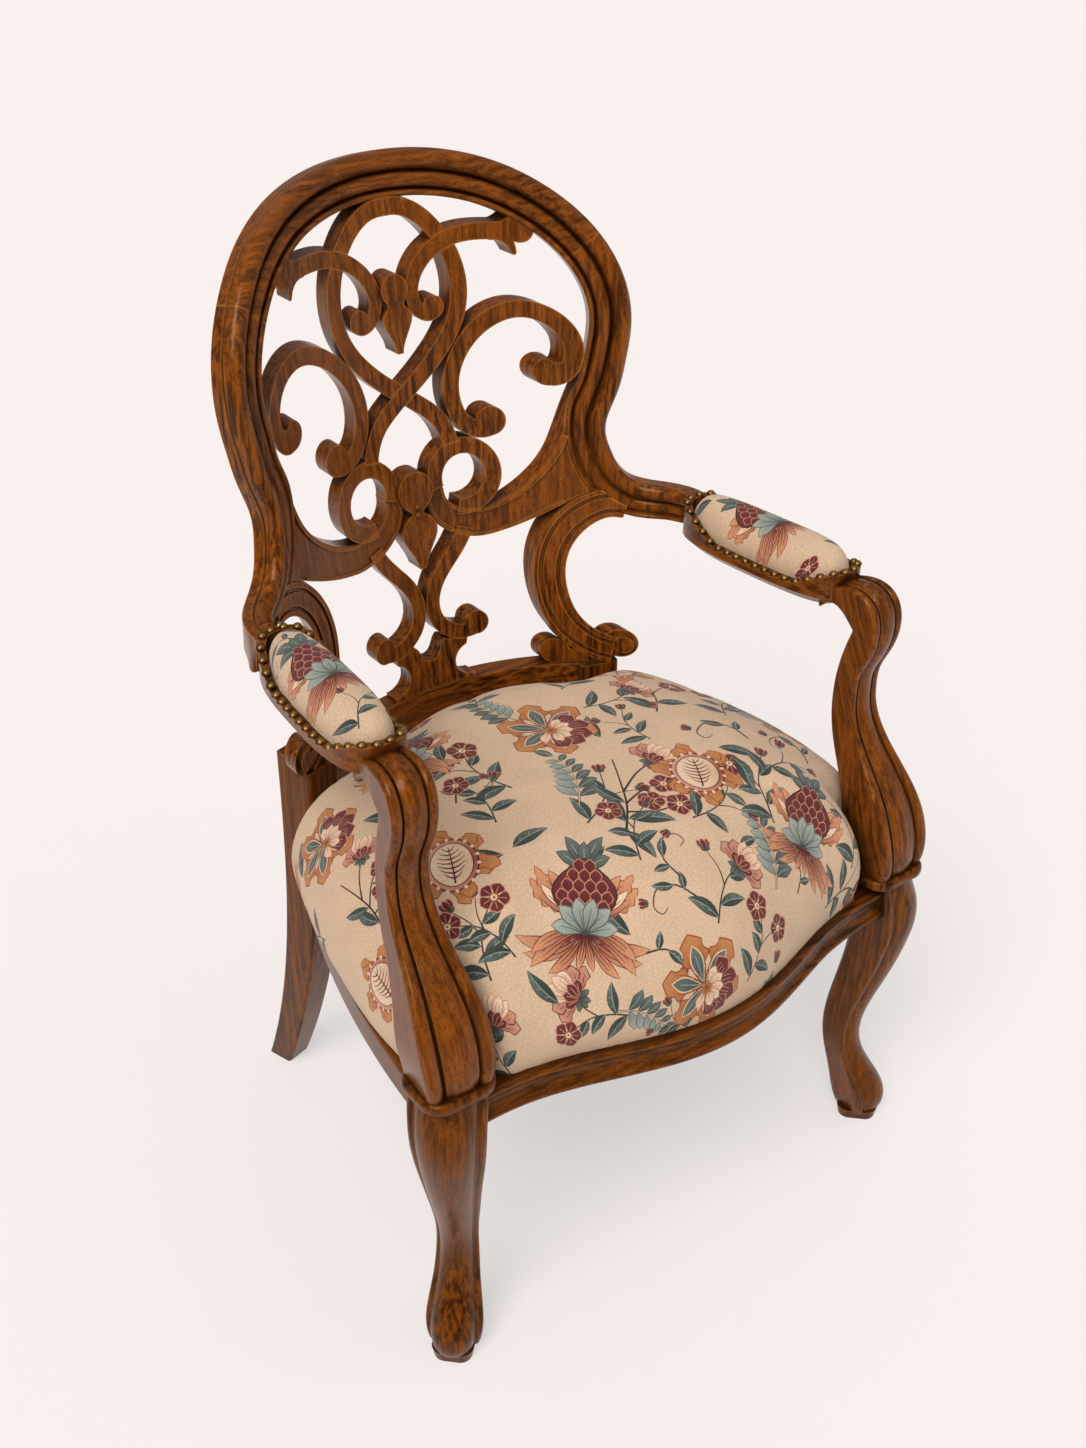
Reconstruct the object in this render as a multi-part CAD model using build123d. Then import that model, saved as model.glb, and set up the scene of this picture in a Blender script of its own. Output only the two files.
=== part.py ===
"""Carved open armchair: pierced balloon back, padded arms, domed seat, cabriole front legs (mm).

The chair faces -Y, +X is to the right of a person looking at it and +Z is up.
"""
import os
from math import asin, cos, degrees, pi, radians, sin, sqrt, tan

from build123d import *

# Back
OVERALL_HEIGHT = 1041.0     # floor to the top of the crest
BACK_WIDTH = 478.0          # across the outer edges of the hoop
BACK_RAKE = 7.2             # lean of the back, degrees
BOW_RADIUS = 300.0          # plan curve of the back
HOOP_WIDTH = 46.0           # face of the hoop moulding
HOOP_THICK = 28.0           # front to back
STRAP_WIDTH = 18.0          # scrollwork bands
STRAP_THICK = 21.0
REAR_RAIL_TOP = 462.0       # seat of the splat shoe

# Seat frame
RAIL_TOP = 339.0
RAIL_DEEP = 38.0            # height of the seat rails
RAIL_THICK = 26.0
FRONT_BOW = 52.0            # how far the middle of the front rail stands forward of its ends
SEAT_CROWN = 499.0          # top of the domed seat
SEAT_SWELL = 44.0           # overhang of the stuffing at the rear of the side rails

# Legs
REAR_FOOT_HALF = 204.0      # mid-plane to rear foot centre
REAR_LEG_TOP = 46.0         # square of the rear leg at the seat
REAR_LEG_FOOT = 33.0        # square at the floor
FRONT_LEG_HALF = 280.0      # mid-plane to front leg axis
FRONT_LEG_AHEAD = 478.0     # rear foot centre to front leg axis
KNEE = 74.0                 # across the leg at the knee
ANKLE = 43.0                # across the leg at its slimmest
COLLAR = 13.0               # height of the ring above the front leg

# Arms
ARM_TOP = 651.0             # ledge under the arm pad
ARM_SPREAD = 5.0            # outward turn of the arms in plan, degrees
PAD_LENGTH = 208.0
PAD_WIDTH = 64.0
PAD_CROWN = 38.0            # rise of the pad above its ledge
LEDGE = 9.0                 # wood showing round the pad
SUPPORT_WAIST = 43.0        # arm support across its narrowest part
SUPPORT_BULB = 74.0         # across the bulb above the leg
NAIL = 9.6                  # nail head diameter
NAIL_COUNT = 38             # nails round each arm pad

CLOTH_GAP = 0.3             # clearance round soft pieces
SCREW_FIT = 0.15            # clearance of a screw in its bore

BACK_Y = -40.0              # face of the back on the mid-plane at the height below
BACK_REF = 450.0
BOW_HALF = 170.0            # half width of the curved part of the back, straight beyond
BOW_ANGLE = asin(BOW_HALF / BOW_RADIUS)
RAKE = tan(radians(BACK_RAKE))


def at(x, z):
    """Point of the back outline, drawn for a 482 wide and 1041 high back, at the chosen size."""
    lift = (OVERALL_HEIGHT - REAR_RAIL_TOP) / (1041.0 - 462.0)
    return (x * BACK_WIDTH / 482.0, REAR_RAIL_TOP + (z - 462.0) * lift)


def bow(x):
    """How far the face of the back stands forward at x."""
    a = min(abs(x), BOW_HALF)
    flat = sqrt(BOW_RADIUS ** 2 - a * a)
    return BOW_RADIUS - flat + (abs(x) - a) * a / flat


def on_back(x, z):
    return Vector(x, BACK_Y + RAKE * (z - BACK_REF) - bow(x), z)


def slab(front, back):
    """Bent and raked board that the scrollwork is cut from, between two offsets from the face."""
    low, high = 380.0, OVERALL_HEIGHT + 40.0
    flank = 120.0

    def edge(offset):
        r = BOW_RADIUS - offset
        out = (sin(BOW_ANGLE), cos(BOW_ANGLE))
        end = (r * out[0], r * out[1] - BOW_RADIUS)
        tip = (end[0] + flank * out[1], end[1] - flank * out[0])
        return end, tip, (0.0, r - BOW_RADIUS)

    (fe, ft, fm), (be, bt, bm) = edge(front), edge(back)
    outline = [
        Line((-ft[0], ft[1]), (-fe[0], fe[1])),
        ThreePointArc((-fe[0], fe[1]), fm, fe),
        Line(fe, ft),
        Line(ft, bt),
        Line(bt, be),
        ThreePointArc(be, bm, (-be[0], be[1])),
        Line((-be[0], be[1]), (-bt[0], bt[1])),
        Line((-bt[0], bt[1]), (-ft[0], ft[1])),
    ]
    plan = Pos(0, BACK_Y + RAKE * (low - BACK_REF), low) * make_face(outline)
    lean = radians(BACK_RAKE)
    return extrude(plan, (high - low) / cos(lean), dir=(0, sin(lean), cos(lean)))


def cut_board(shape, board):
    """Flat outline in X and Z sawn straight through the bent board."""
    return extrude(Plane.XZ * shape, 400, both=True) & board


def ribbon(points, width, end_width=None, round_end=False):
    """Flat band along a smooth line through points, tapering to end_width."""
    line = Spline(*points)
    end_width = end_width or width
    count = 2 * len(points)
    sides = ([], [])
    for i in range(count + 1):
        half = (width + (end_width - width) * i / count) / 2
        p, d = line @ (i / count), line % (i / count)
        sides[0].append((p.X - d.Y * half, p.Y + d.X * half))
        sides[1].append((p.X + d.Y * half, p.Y - d.X * half))
    tip = line @ 1 + (line % 1) * (end_width / 2)
    cap = Line(sides[0][-1], sides[1][-1])
    if round_end:
        cap = ThreePointArc(sides[0][-1], (tip.X, tip.Y), sides[1][-1])
    return make_face([Spline(*sides[0]), cap, Spline(*reversed(sides[1])), Line(sides[1][0], sides[0][0])])


def band(points, *sizes):
    """Ribbon along points of the back outline."""
    return ribbon([at(*p) for p in points], *sizes)


def disc(x, z, radius):
    return Pos(*at(x, z)) * Circle(radius)


def left_of(piece):
    return mirror(piece, about=Plane.YZ)


# The moulded hoop

HOOP_LINE = [
    (0, 1018), (62, 1013), (120, 996), (168, 965), (202, 922), (216, 878), (215, 838), (206, 800),
    (195, 763), (189, 737),
]
HOOP_JOINT = 0.52           # share of the half hoop that the crest takes
HOOP_STEP = 0.08            # spacing of the sections, shared by crest and stile about their joint
HOOP_TURN = 0.5             # how far the face of the crest follows the bow, 1 being fully


def hoop_spline():
    return Spline(*[at(*p) for p in HOOP_LINE], tangents=((1, 0), (0, -1)))


def moulding(width, thick, relief=1.0):
    """Hoop section, face up: inner lip, quirk, shallow round, quirk and broad outer bead."""
    a, k = -width / 2, width / 46.0
    def p(b, n):
        return (a + b * k, n)
    dip = -7.0 * relief
    edges = [
        Line(p(0, -thick), p(0, -2)),
        ThreePointArc(p(0, -2), p(3, 0.9 * relief - 0.4), p(6, -2)),
        Polyline(p(6, -2), p(7.6, dip), p(9.2, -2)),
        ThreePointArc(p(9.2, -2), p(16.2, 1.4 * relief), p(23.2, -2)),
        Polyline(p(23.2, -2), p(24.8, dip), p(26.4, -2)),
        ThreePointArc(p(26.4, -2), p(36, 4.6), p(46, -7)),
        Polyline(p(46, -7), p(45.6, -11), p(43.4, -12.6), p(45.2, -14.2), p(43.5, 1 - thick)),
        Line(p(43.5, 1 - thick), p(0, -thick)),
    ]
    return make_face(edges)


def hoop_frame(t, side):
    """Frame square to the hoop at a share of its line, Z running away from the crest on the right half."""
    line = hoop_spline()
    p, d = line @ t, line % t
    here = on_back(p.X, p.Y)
    slope = -(on_back(p.X + 0.5, p.Y).Y - on_back(p.X - 0.5, p.Y).Y)
    share = min(1.0, max(0.0, (t - 0.3) / 0.66))
    turn = HOOP_TURN + (1 - HOOP_TURN) * share * share * (3 - 2 * share)
    normal = Vector(-slope * turn, -1, RAKE).normalized()
    out = Vector(-d.Y, 0, d.X)
    out = (out - normal * out.dot(normal)).normalized()
    if side < 0:
        here, normal, out = (Vector(-v.X, v.Y, v.Z) for v in (here, normal, out))
    return Plane(origin=here, x_dir=out, z_dir=out.cross(normal))


def hoop_section(t, side, relief=1.0):
    """Moulding set square to the hoop; side is 1 for the right half."""
    return hoop_frame(t, side) * moulding(HOOP_WIDTH, HOOP_THICK, relief)


def joint_block(ahead):
    """Block on the far or near side of the joint between crest and right stile."""
    return hoop_frame(HOOP_JOINT, 1) * Pos(0, 0, 75 * ahead) * Box(150, 150, 150)


def crest_rail():
    """Top of the hoop, lofted past both joints and sawn square there."""
    steps = [HOOP_STEP * i for i in range(10)]
    ring = [hoop_section(t, -1) for t in reversed(steps[1:])]
    ring += [hoop_section(t, 1) for t in steps]
    end = joint_block(1)
    return body(loft(ring) - end - left_of(end))


# Arm line in plan: from the flank of the back round a bend and straight to the knuckle

ARM_ROOT = 40.0             # height of the arm where it leaves the stile
ARM_ROOT_THICK = 25.0
ARM_BEND = 93.0             # plan radius of the bend between back and arm
ARM_DROP = 62.0             # radius of the sweep from stile to arm


def arm_plan(run):
    """Point and heading in plan, run being measured along the back from the stile foot."""
    foot = at(*HOOP_LINE[-1])[0]
    slope = BOW_ANGLE
    bend_start = 38.0 * BACK_WIDTH / 482.0
    straight_turn = pi / 2 - radians(ARM_SPREAD)
    start = on_back(foot, ARM_TOP)
    heading = (cos(slope), -sin(slope))
    if run <= bend_start:
        return (start.X + run * heading[0], start.Y + run * heading[1]), slope
    x, y = start.X + bend_start * heading[0], start.Y + bend_start * heading[1]
    turn = min((run - bend_start) / ARM_BEND, straight_turn - slope)
    x += ARM_BEND * (sin(slope + turn) - sin(slope))
    y -= ARM_BEND * (cos(slope) - cos(slope + turn))
    rest = run - bend_start - turn * ARM_BEND
    angle = slope + turn
    return (x + rest * cos(angle), y - rest * sin(angle)), angle


def arm_frame(run, z, pitch):
    """Frame of an arm section; pitch runs from 90 (straight down) to 0 (level)."""
    (x, y), angle = arm_plan(run)
    lean = RAKE * (z - ARM_TOP)
    along = Vector(cos(angle), -sin(angle), 0)
    normal = Vector(-sin(angle), -cos(angle), 0)
    travel = along * cos(pitch) - Vector(0, 0, 1) * sin(pitch)
    return Plane(origin=(x, y + lean, z), x_dir=normal.cross(travel), z_dir=travel)


ARM_START = 38.0 + ARM_BEND * (pi / 2 - radians(ARM_SPREAD) - BOW_ANGLE) + 4.0


def stile():
    """Right side of the hoop, sweeping out at its foot into the root of the arm."""
    steps = [HOOP_STEP * i for i in range(4, 13)]
    rings = [hoop_section(t, 1, 1.0 if t < 0.85 else 0.7) for t in steps]
    foot = at(*HOOP_LINE[-1])[1]
    level = ARM_TOP + 25.0 - ARM_ROOT / 2
    drop = foot - level
    for share in (0.25, 0.5, 0.75, 1.0):
        turn = share * pi / 2
        run = ARM_DROP * (1 - cos(turn))
        height = foot - drop * sin(turn)
        wide = HOOP_WIDTH + (ARM_ROOT - HOOP_WIDTH) * share
        deep = HOOP_THICK + (ARM_ROOT_THICK - HOOP_THICK) * share
        rings.append(arm_frame(run, height, pi / 2 - turn) * moulding(wide, deep, 0.5))
    for share in (0.33, 0.67, 1.0):
        run = ARM_DROP + (ARM_START + 5 - ARM_DROP) * share
        section = moulding(ARM_ROOT - 6 * share, ARM_ROOT_THICK, 0.5)
        rings.append(arm_frame(run, level + 2 * share, 0.04) * section)
    return body(loft(rings) - joint_block(-1))


# Pierced scrollwork, right-hand pieces (mirrored for the left)

RING = (61, 697)


def heart_limb():
    """One ribbon of the heart loop, from the top round and down across the middle to the ring."""
    line = [
        (0, 987), (27, 982), (52, 961), (69, 932), (75, 900), (71, 874), (59, 850), (40, 828),
        (18, 809), (0, 796), (-18, 783), (-36, 767), (-46, 750), (-50, 735),
    ]
    return band(line, STRAP_WIDTH)


def ring_band():
    c = RING
    arc = [(c[0] + 34 * cos(radians(a)), c[1] + 34 * sin(radians(a))) for a in range(196, -105, -25)]
    return band(arc, STRAP_WIDTH)


def upper_scroll():
    """Strap with a trefoil end at the hoop, curling down inside the heart to an eye."""
    line = [
        (128, 950), (101, 952), (76, 950), (52, 941), (33, 925), (23, 905), (24, 888), (34, 876), (46, 876),
    ]
    leaf = band([(112, 950), (126, 944), (134, 928)], STRAP_WIDTH * 0.9, 5, True)
    crown = band([(112, 950), (128, 956), (140, 969)], STRAP_WIDTH * 0.9, 7, True)
    strap = band(line, STRAP_WIDTH, STRAP_WIDTH * 0.8)
    return strap + disc(45, 881, 12) + disc(141, 950, 12.5) + leaf + crown


def side_scroll():
    """Upside-down U with a curl against the hoop and a curl towards the ring."""
    line = [
        (159, 796), (172, 799), (181, 813), (182, 833), (173, 851), (155, 865), (131, 870), (106, 863),
        (85, 849), (68, 829), (58, 805), (57, 781), (65, 759), (81, 746), (97, 746),
    ]
    return band(line, STRAP_WIDTH) + disc(158, 802, 15) + disc(97, 753, 16)


def lower_s():
    """S-scroll from the waist scroll to the middle and out again to a curl."""
    line = [
        (58, 640), (48, 622), (31, 602), (16, 582), (9.5, 562), (13, 541), (26, 526), (44, 519), (60, 521),
    ]
    return band(line, STRAP_WIDTH, STRAP_WIDTH * 0.9) + disc(61, 526, 14)


def waist_scroll():
    """Broad band from the hoop side, sweeping in to a hooked tip beside the lower pendant."""
    top = [
        (37, 691), (38, 680), (46, 668), (60, 661), (80, 658), (101, 662), (121, 672), (141, 688), (157, 708),
        (168, 732), (177, 757), (186, 780), (197, 806),
    ]
    low = [
        (212, 690), (190, 668), (165, 654), (140, 641), (118, 632), (98, 627), (78, 625), (60, 628),
        (43, 635), (28, 647), (18, 663), (16, 679), (22, 691),
    ]
    outline = [
        Spline(*[at(*p) for p in top]),
        Line(at(*top[-1]), at(212, 740)),
        Line(at(212, 740), at(*low[0])),
        Spline(*[at(*p) for p in low]),
        ThreePointArc(at(*low[-1]), at(29, 696), at(*top[0])),
    ]
    return make_face(outline)


def waist_beads():
    """Raised bead lines along both edges of the waist scroll."""
    top = [
        (35, 688), (36, 679), (44, 666), (59, 658.5), (80, 655.5), (102, 659.5), (123, 669.5), (143, 686),
        (160, 707), (171, 732),
    ]
    low = [
        (166, 657), (141, 644), (118, 635), (98, 630), (78, 628), (61, 631), (45, 637.5), (31, 649),
        (21, 664), (19, 679), (24, 689),
    ]
    return band(top, 3.6) + band(low, 3.6)


C_LINE = [
    (224, 652), (198, 652), (174, 637), (156, 613), (147, 586), (146, 558), (151, 531), (163, 506),
    (182, 487), (203, 477),
]


def c_scroll():
    """C-shaped bracket from the arm root down to a volute on the seat rail."""
    foot = Pos(*at(174, 470)) * Rectangle(56, 16)
    return band(C_LINE, 35, 24) + disc(212, 484, 17) + disc(147, 477, 15) + foot


def shifted(points, out):
    """Points moved sideways off a line of outline points."""
    line = Spline(*points)
    moved = []
    for i in range(len(points) + 1):
        p, d = line @ (i / len(points)), line % (i / len(points))
        moved.append((p.X - d.Y * out, p.Y + d.X * out))
    return moved


def upper_pendant():
    """Round head over a pointed leaf."""
    leaf = [(0, 889), (11, 888), (17.5, 880), (15, 868), (8, 855), (3.5, 841)]
    return half_outline(leaf) + disc(0, 906, 16) + Pos(*at(0, 890)) * Rectangle(20, 10)


def lower_pendant():
    head = [(0, 714), (12, 711), (20, 702), (22, 691), (17, 680), (8, 671)]
    leaf = [(0, 668), (9, 667), (18, 660), (22.5, 649), (17, 633), (8, 617), (4, 606)]
    return half_outline(head) + half_outline(leaf) + Pos(*at(0, 669)) * Rectangle(14, 10)


def half_outline(points):
    """Face symmetric about the mid-plane from the right half of its outline."""
    right = [at(*p) for p in points]
    left = [(-x, z) for x, z in right]
    return make_face([Spline(*right), Line(right[-1], left[-1]), Spline(*reversed(left))])


def shoe():
    """Foot of the splat: two ears over a waisted, flared block."""
    right = [(0, 495), (7, 497), (13, 506), (20, 516)]
    side = [(46, 503), (36, 497), (31, 487), (33, 476), (42, 468), (54, 466)]
    def both(points):
        r = [at(*p) for p in points]
        return r, [(-x, z) for x, z in r]
    (nr, nl), (sr, sl) = both(right), both(side)
    br, bl = (at(54, 462), at(-54, 462))
    outline = [
        Spline(*reversed(nl), *nr[1:]),
        Polyline(nr[-1], at(48, 510), sr[0]),
        Spline(*sr),
        Polyline(sr[-1], br, bl, sl[-1]),
        Spline(*reversed(sl)),
        Polyline(sl[0], at(-48, 510), nl[-1]),
    ]
    return make_face(outline)


def lap(over, under, face_half, rear_half):
    """Halved crossing: the over piece keeps the front half, the under piece the rear half."""
    both = over & under
    return over - (both & rear_half), under - (both & face_half)


def body(shape):
    """The piece itself, without crumbs left where two mouldings meet."""
    return max(shape.solids(), key=lambda s: s.volume)


def scrollwork(stile_right, crest):
    """All pieces of the pierced back, as a dictionary of name to solid."""
    board = slab(0, -STRAP_THICK)
    front = slab(8, -STRAP_THICK / 2)
    rear = slab(-STRAP_THICK / 2, -STRAP_THICK - 8)
    limb = body(cut_board(heart_limb(), board) - crest)
    limb = body(limb - Pos(-200, 0, at(0, 987)[1]) * Box(400, 800, 60))
    limb, other = lap(limb, left_of(limb), front, rear)
    upper = body(cut_board(upper_scroll(), board) - crest - stile_right)
    upper_left = left_of(upper)
    upper, limb = lap(upper, limb, front, rear)
    upper_left, other = lap(upper_left, other, front, rear)
    waist = cut_board(waist_scroll(), slab(-2.4, -STRAP_THICK)) + cut_board(waist_beads(), slab(-0.4, -8))
    waist = body(waist - stile_right)
    c_line = [at(*p) for p in C_LINE]
    beads = ribbon(shifted(c_line, 13.5), 5) + ribbon(shifted(c_line, -13.5), 5) + ribbon(c_line, 13)
    bracket = cut_board(c_scroll(), slab(-3, -STRAP_THICK)) + cut_board(beads, slab(-0.5, -10))
    bracket = bracket + cut_board(disc(212, 484, 10), slab(1.5, -10))
    bracket = body(bracket - waist - stile_right)
    ring = body(cut_board(ring_band(), board) - other - waist)
    side = body(cut_board(side_scroll(), board) - limb - ring - stile_right)
    low = body(cut_board(lower_s(), board) - waist)
    thick = slab(4, -STRAP_THICK)
    drop = cut_board(upper_pendant(), thick) - upper - upper_left
    bead = [Sphere(4.4).moved(Location(on_back(0, at(0, z)[1]) - Vector(0, 4, 0))) for z in (676, 667)]
    tassel = cut_board(lower_pendant(), thick) + bead[0] + bead[1]
    tassel = tassel - waist - left_of(waist) - ring - left_of(ring)
    pieces = {"upper_pendant": body(drop), "lower_pendant": body(tassel)}
    pieces["heart_ribbon_right"] = body(limb)
    pieces["heart_ribbon_left"] = body(other)
    pieces["upper_scroll_right"] = body(upper)
    pieces["upper_scroll_left"] = body(upper_left)
    pieces["splat_shoe"] = body(cut_board(shoe(), slab(0, -STRAP_THICK)) - low - left_of(low))
    named = {"side_scroll": side, "ring": ring, "waist_scroll": waist}
    named.update({"lower_scroll": low, "c_scroll": bracket})
    for name, solid in named.items():
        pieces[name + "_right"] = solid
        pieces[name + "_left"] = left_of(solid)
    return pieces


# Arms

PAD_START = ARM_START + 4.0


def arm_place(run):
    """Frame on the arm line at ledge height: X along the arm, Z up."""
    (x, y), angle = arm_plan(run)
    return Plane(origin=(x, y, ARM_TOP), x_dir=(cos(angle), -sin(angle), 0), z_dir=(0, 0, 1))


def pad_outline(grow=0.0):
    """Plan of the arm pad, rear end at X = 0: a squarish oval, grown or shrunk all round."""
    n, w = PAD_LENGTH / 2 + grow, PAD_WIDTH / 2 + grow

    def squared(v):
        return abs(v) ** 0.7 * (1 if v > 0 else -1)

    points = []
    for i in range(20):
        c, s = cos(pi * i / 10), sin(pi * i / 10)
        points.append((PAD_LENGTH / 2 + n * squared(c), w * (0.95 + 0.05 * c) * squared(s)))
    return make_face(Spline(*points, periodic=True))


CUFF_SLOPE = radians(26.0)
REAR_CUFF = 27.0            # rise of the wood at the rear end of the pad
FRONT_CUFF = 18.0


def cuff_rise(u):
    """Height of the wood above the ledge and its tilt at a distance along the pad."""
    rear = REAR_CUFF - max(u - 2, 0) * tan(CUFF_SLOPE)
    front = FRONT_CUFF - max(PAD_LENGTH - 2 - u, 0) * tan(CUFF_SLOPE)
    if max(rear, front) <= 0:
        return 0.0, 0.0
    level = u < 2 or u > PAD_LENGTH - 2
    if rear > front:
        return rear, 0.0 if level else CUFF_SLOPE
    return front, 0.0 if level else -CUFF_SLOPE


def arm():
    """Ledge for the pad with a keel under it and a raised cuff at each end."""
    wide = pad_outline(LEDGE)
    ledge = extrude(wide, -9)
    keel = loft([Pos(0, 0, -9) * wide, Pos(0, 0, -20) * pad_outline(LEDGE - 13)])
    ring = extrude(wide, REAR_CUFF + 20) - extrude(pad_outline(CLOTH_GAP), REAR_CUFF + 20)
    w, n, lift = PAD_WIDTH + 60, PAD_LENGTH, tan(CUFF_SLOPE)
    rear = Polyline((-40, 0), (-40, REAR_CUFF), (2, REAR_CUFF), (2 + REAR_CUFF / lift, 0), close=True)
    far = n - 2
    start = far - FRONT_CUFF / lift
    front = Polyline((n + 40, 0), (n + 40, FRONT_CUFF), (far, FRONT_CUFF), (start, 0), close=True)
    ends = [ring & extrude(Plane.XZ * make_face(side), w / 2, both=True) for side in (rear, front)]
    return arm_place(PAD_START) * (ledge + keel + ends[0] + ends[1])


def arm_pad():
    """Stuffed pad, crowned and drawn in along its edge."""
    c = PAD_CROWN
    levels = [(CLOTH_GAP, -1.0), (0.3 * c, -1.0), (0.66 * c, -5.5), (0.88 * c, -12.0), (c, -20.0)]
    return arm_place(PAD_START) * loft([Pos(0, 0, z) * pad_outline(g) for z, g in levels])


def nail_spots():
    """Where the nails stand on the wood round the pad, with the tilt of the wood there."""
    rim = pad_outline(NAIL / 2 + 2 * CLOTH_GAP).wires()[0]
    spots = []
    for i in range(NAIL_COUNT):
        spot = rim @ ((i + 0.5) / NAIL_COUNT)
        rise, tilt = cuff_rise(spot.X)
        spots.append((spot.X, spot.Y, rise, tilt))
    return spots


def nail_head(x, y, rise, tilt):
    """Low dome of a nail head."""
    height = NAIL * 0.4
    ball = (NAIL * NAIL / 4 + height * height) / (2 * height)
    dome = Pos(0, 0, height - ball) * Sphere(ball) & Pos(0, 0, NAIL) * Box(2 * NAIL, 2 * NAIL, 2 * NAIL)
    return body(arm_place(PAD_START) * Pos(x, y, rise) * Rot(0, degrees(tilt), 0) * dome)


SUPPORT_LINE = [
    (-12, 1.0, 46, 33, 0), (26, 1.0, 46, 36, 4), (45, 0.955, 46, 37, 46), (44, 0.864, 44, 32, 101),
    (33, 0.756, 43, 28, 103), (29, 0.652, 42.5, 28, 90), (36, 0.512, 46, 32, 66), (60, 0.37, 55, 41, 60),
    (84, 0.235, 60, 52, 68), (96, 0.12, 64, 58, 82), (98, 0.0, 57, 55, 90),
]


def reeded(width, thick):
    """Arm support section, face up: flat back, a bead at each edge and a broad round between quirks."""
    h, t = width / 2, thick / 2
    edges = [
        Line((4 - h, -t), (h - 4, -t)),
        ThreePointArc((h - 4, -t), (h - 1.2, 1.2 - t), (h, 4 - t)),
        Line((h, 4 - t), (h, t - 8)),
        ThreePointArc((h, t - 8), (h - 1.8, t - 2), (0.58 * h, t - 2.5)),
        Polyline((0.58 * h, t - 2.5), (0.53 * h, t - 7), (0.48 * h, t - 2.5)),
        ThreePointArc((0.48 * h, t - 2.5), (0, t + 1.2), (-0.48 * h, t - 2.5)),
        Polyline((-0.48 * h, t - 2.5), (-0.53 * h, t - 7), (-0.58 * h, t - 2.5)),
        ThreePointArc((-0.58 * h, t - 2.5), (1.8 - h, t - 2), (-h, t - 8)),
        Line((-h, t - 8), (-h, 4 - t)),
        ThreePointArc((-h, 4 - t), (1.2 - h, 1.2 - t), (4 - h, -t)),
    ]
    return make_face(edges)


def leg_top():
    return RAIL_TOP + 6.0


def arm_support():
    """Knuckle and S-shaped post with a bulb that stands on the collar of the front leg."""
    (x0, y0), angle = arm_plan(PAD_START + PAD_LENGTH)
    along = Vector(cos(angle), -sin(angle), 0)
    low, high = leg_top() + COLLAR, ARM_TOP - 6.0
    last = Vector(x0, y0, 0) + along * SUPPORT_LINE[-1][0]
    drift = Vector(FRONT_LEG_HALF, -FRONT_LEG_AHEAD, 0) - last
    rings = []
    for ahead, rise, width, thick, pitch in SUPPORT_LINE:
        waist = SUPPORT_WAIST / 43.0 if rise > 0.3 else SUPPORT_BULB / 64.0
        share = min(max((0.7 - rise) / 0.7, 0.0), 1.0)
        ease = share * share * (3 - 2 * share)
        spot = Vector(x0, y0, low + rise * (high - low)) + along * ahead + drift * ease
        lean = radians(pitch)
        travel = along * cos(lean) - Vector(0, 0, 1) * sin(lean)
        face = along * sin(lean) + Vector(0, 0, 1) * cos(lean)
        square = Plane(origin=spot, x_dir=face.cross(travel), z_dir=travel)
        rings.append(square * reeded(width * waist, thick))
    return loft(rings)


# Legs

LEG_LINE = [
    (345, 4, 58, 1.0), (318, 9, 64, 1.02), (292, 11, 66, 1.0), (258, 7, 63, 0.93), (220, -1, 57, 0.8),
    (180, -12, 50, 0.68), (142, -20, 44, 0.585), (112, -20, 42, 0.59), (82, -12, 46, 0.65),
    (56, -1, 56, 0.75), (34, 6, 61, 0.79), (12, 8, 51, 0.69),
]


def knee_section(wide, deep):
    """Cabriole section, outer face towards +Y: square inner corner, beaded flanks, rounded front."""
    w, d = wide, deep
    edges = [
        ThreePointArc((-0.12 * w, -0.44 * d), (0, -0.5 * d), (0.12 * w, -0.44 * d)),
        Line((0.12 * w, -0.44 * d), (0.46 * w, -0.06 * d)),
        ThreePointArc((0.46 * w, -0.06 * d), (0.5 * w, 0.03 * d), (0.43 * w, 0.11 * d)),
        ThreePointArc((0.43 * w, 0.11 * d), (0.393 * w, 0.125 * d), (0.385 * w, 0.17 * d)),
        ThreePointArc((0.385 * w, 0.17 * d), (0, 0.5 * d), (-0.385 * w, 0.17 * d)),
        ThreePointArc((-0.385 * w, 0.17 * d), (-0.393 * w, 0.125 * d), (-0.43 * w, 0.11 * d)),
        ThreePointArc((-0.43 * w, 0.11 * d), (-0.5 * w, 0.03 * d), (-0.46 * w, -0.06 * d)),
        Line((-0.46 * w, -0.06 * d), (-0.12 * w, -0.44 * d)),
    ]
    return make_face(edges)


def front_leg():
    """Cabriole leg turned outwards at 45 degrees, with a toe block and a collar."""
    r = sqrt(0.5)
    rings = []
    for z, out, deep, share in LEG_LINE:
        slim = (share - 0.585) / 0.415
        wide = ANKLE + (KNEE - ANKLE) * slim
        spot = (FRONT_LEG_HALF + out * r, -FRONT_LEG_AHEAD - out * r, z * leg_top() / 345.0)
        rings.append(Plane(origin=spot, x_dir=(-r, -r, 0), z_dir=(0, 0, 1)) * knee_section(wide, deep))
    leg = loft(rings)
    foot_z = LEG_LINE[-1][0] * leg_top() / 345.0
    spot = (FRONT_LEG_HALF + 8 * r, -FRONT_LEG_AHEAD - 8 * r, 0)
    toe = Plane(origin=spot, x_dir=(r, -r, 0), z_dir=(0, 0, 1))
    block = loft([toe * RectangleRounded(42, 39, 12), toe * Pos(0, 0, foot_z) * RectangleRounded(46, 43, 13)])
    seat_of_post = Pos(FRONT_LEG_HALF, -FRONT_LEG_AHEAD, leg_top())
    ring = extrude(seat_of_post * RectangleRounded(SUPPORT_BULB + 5, 70, 23), COLLAR)
    rims = ring.edges().group_by(Axis.Z)
    return leg + block + fillet(rims[0] + rims[-1], COLLAR * 0.42)


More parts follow.
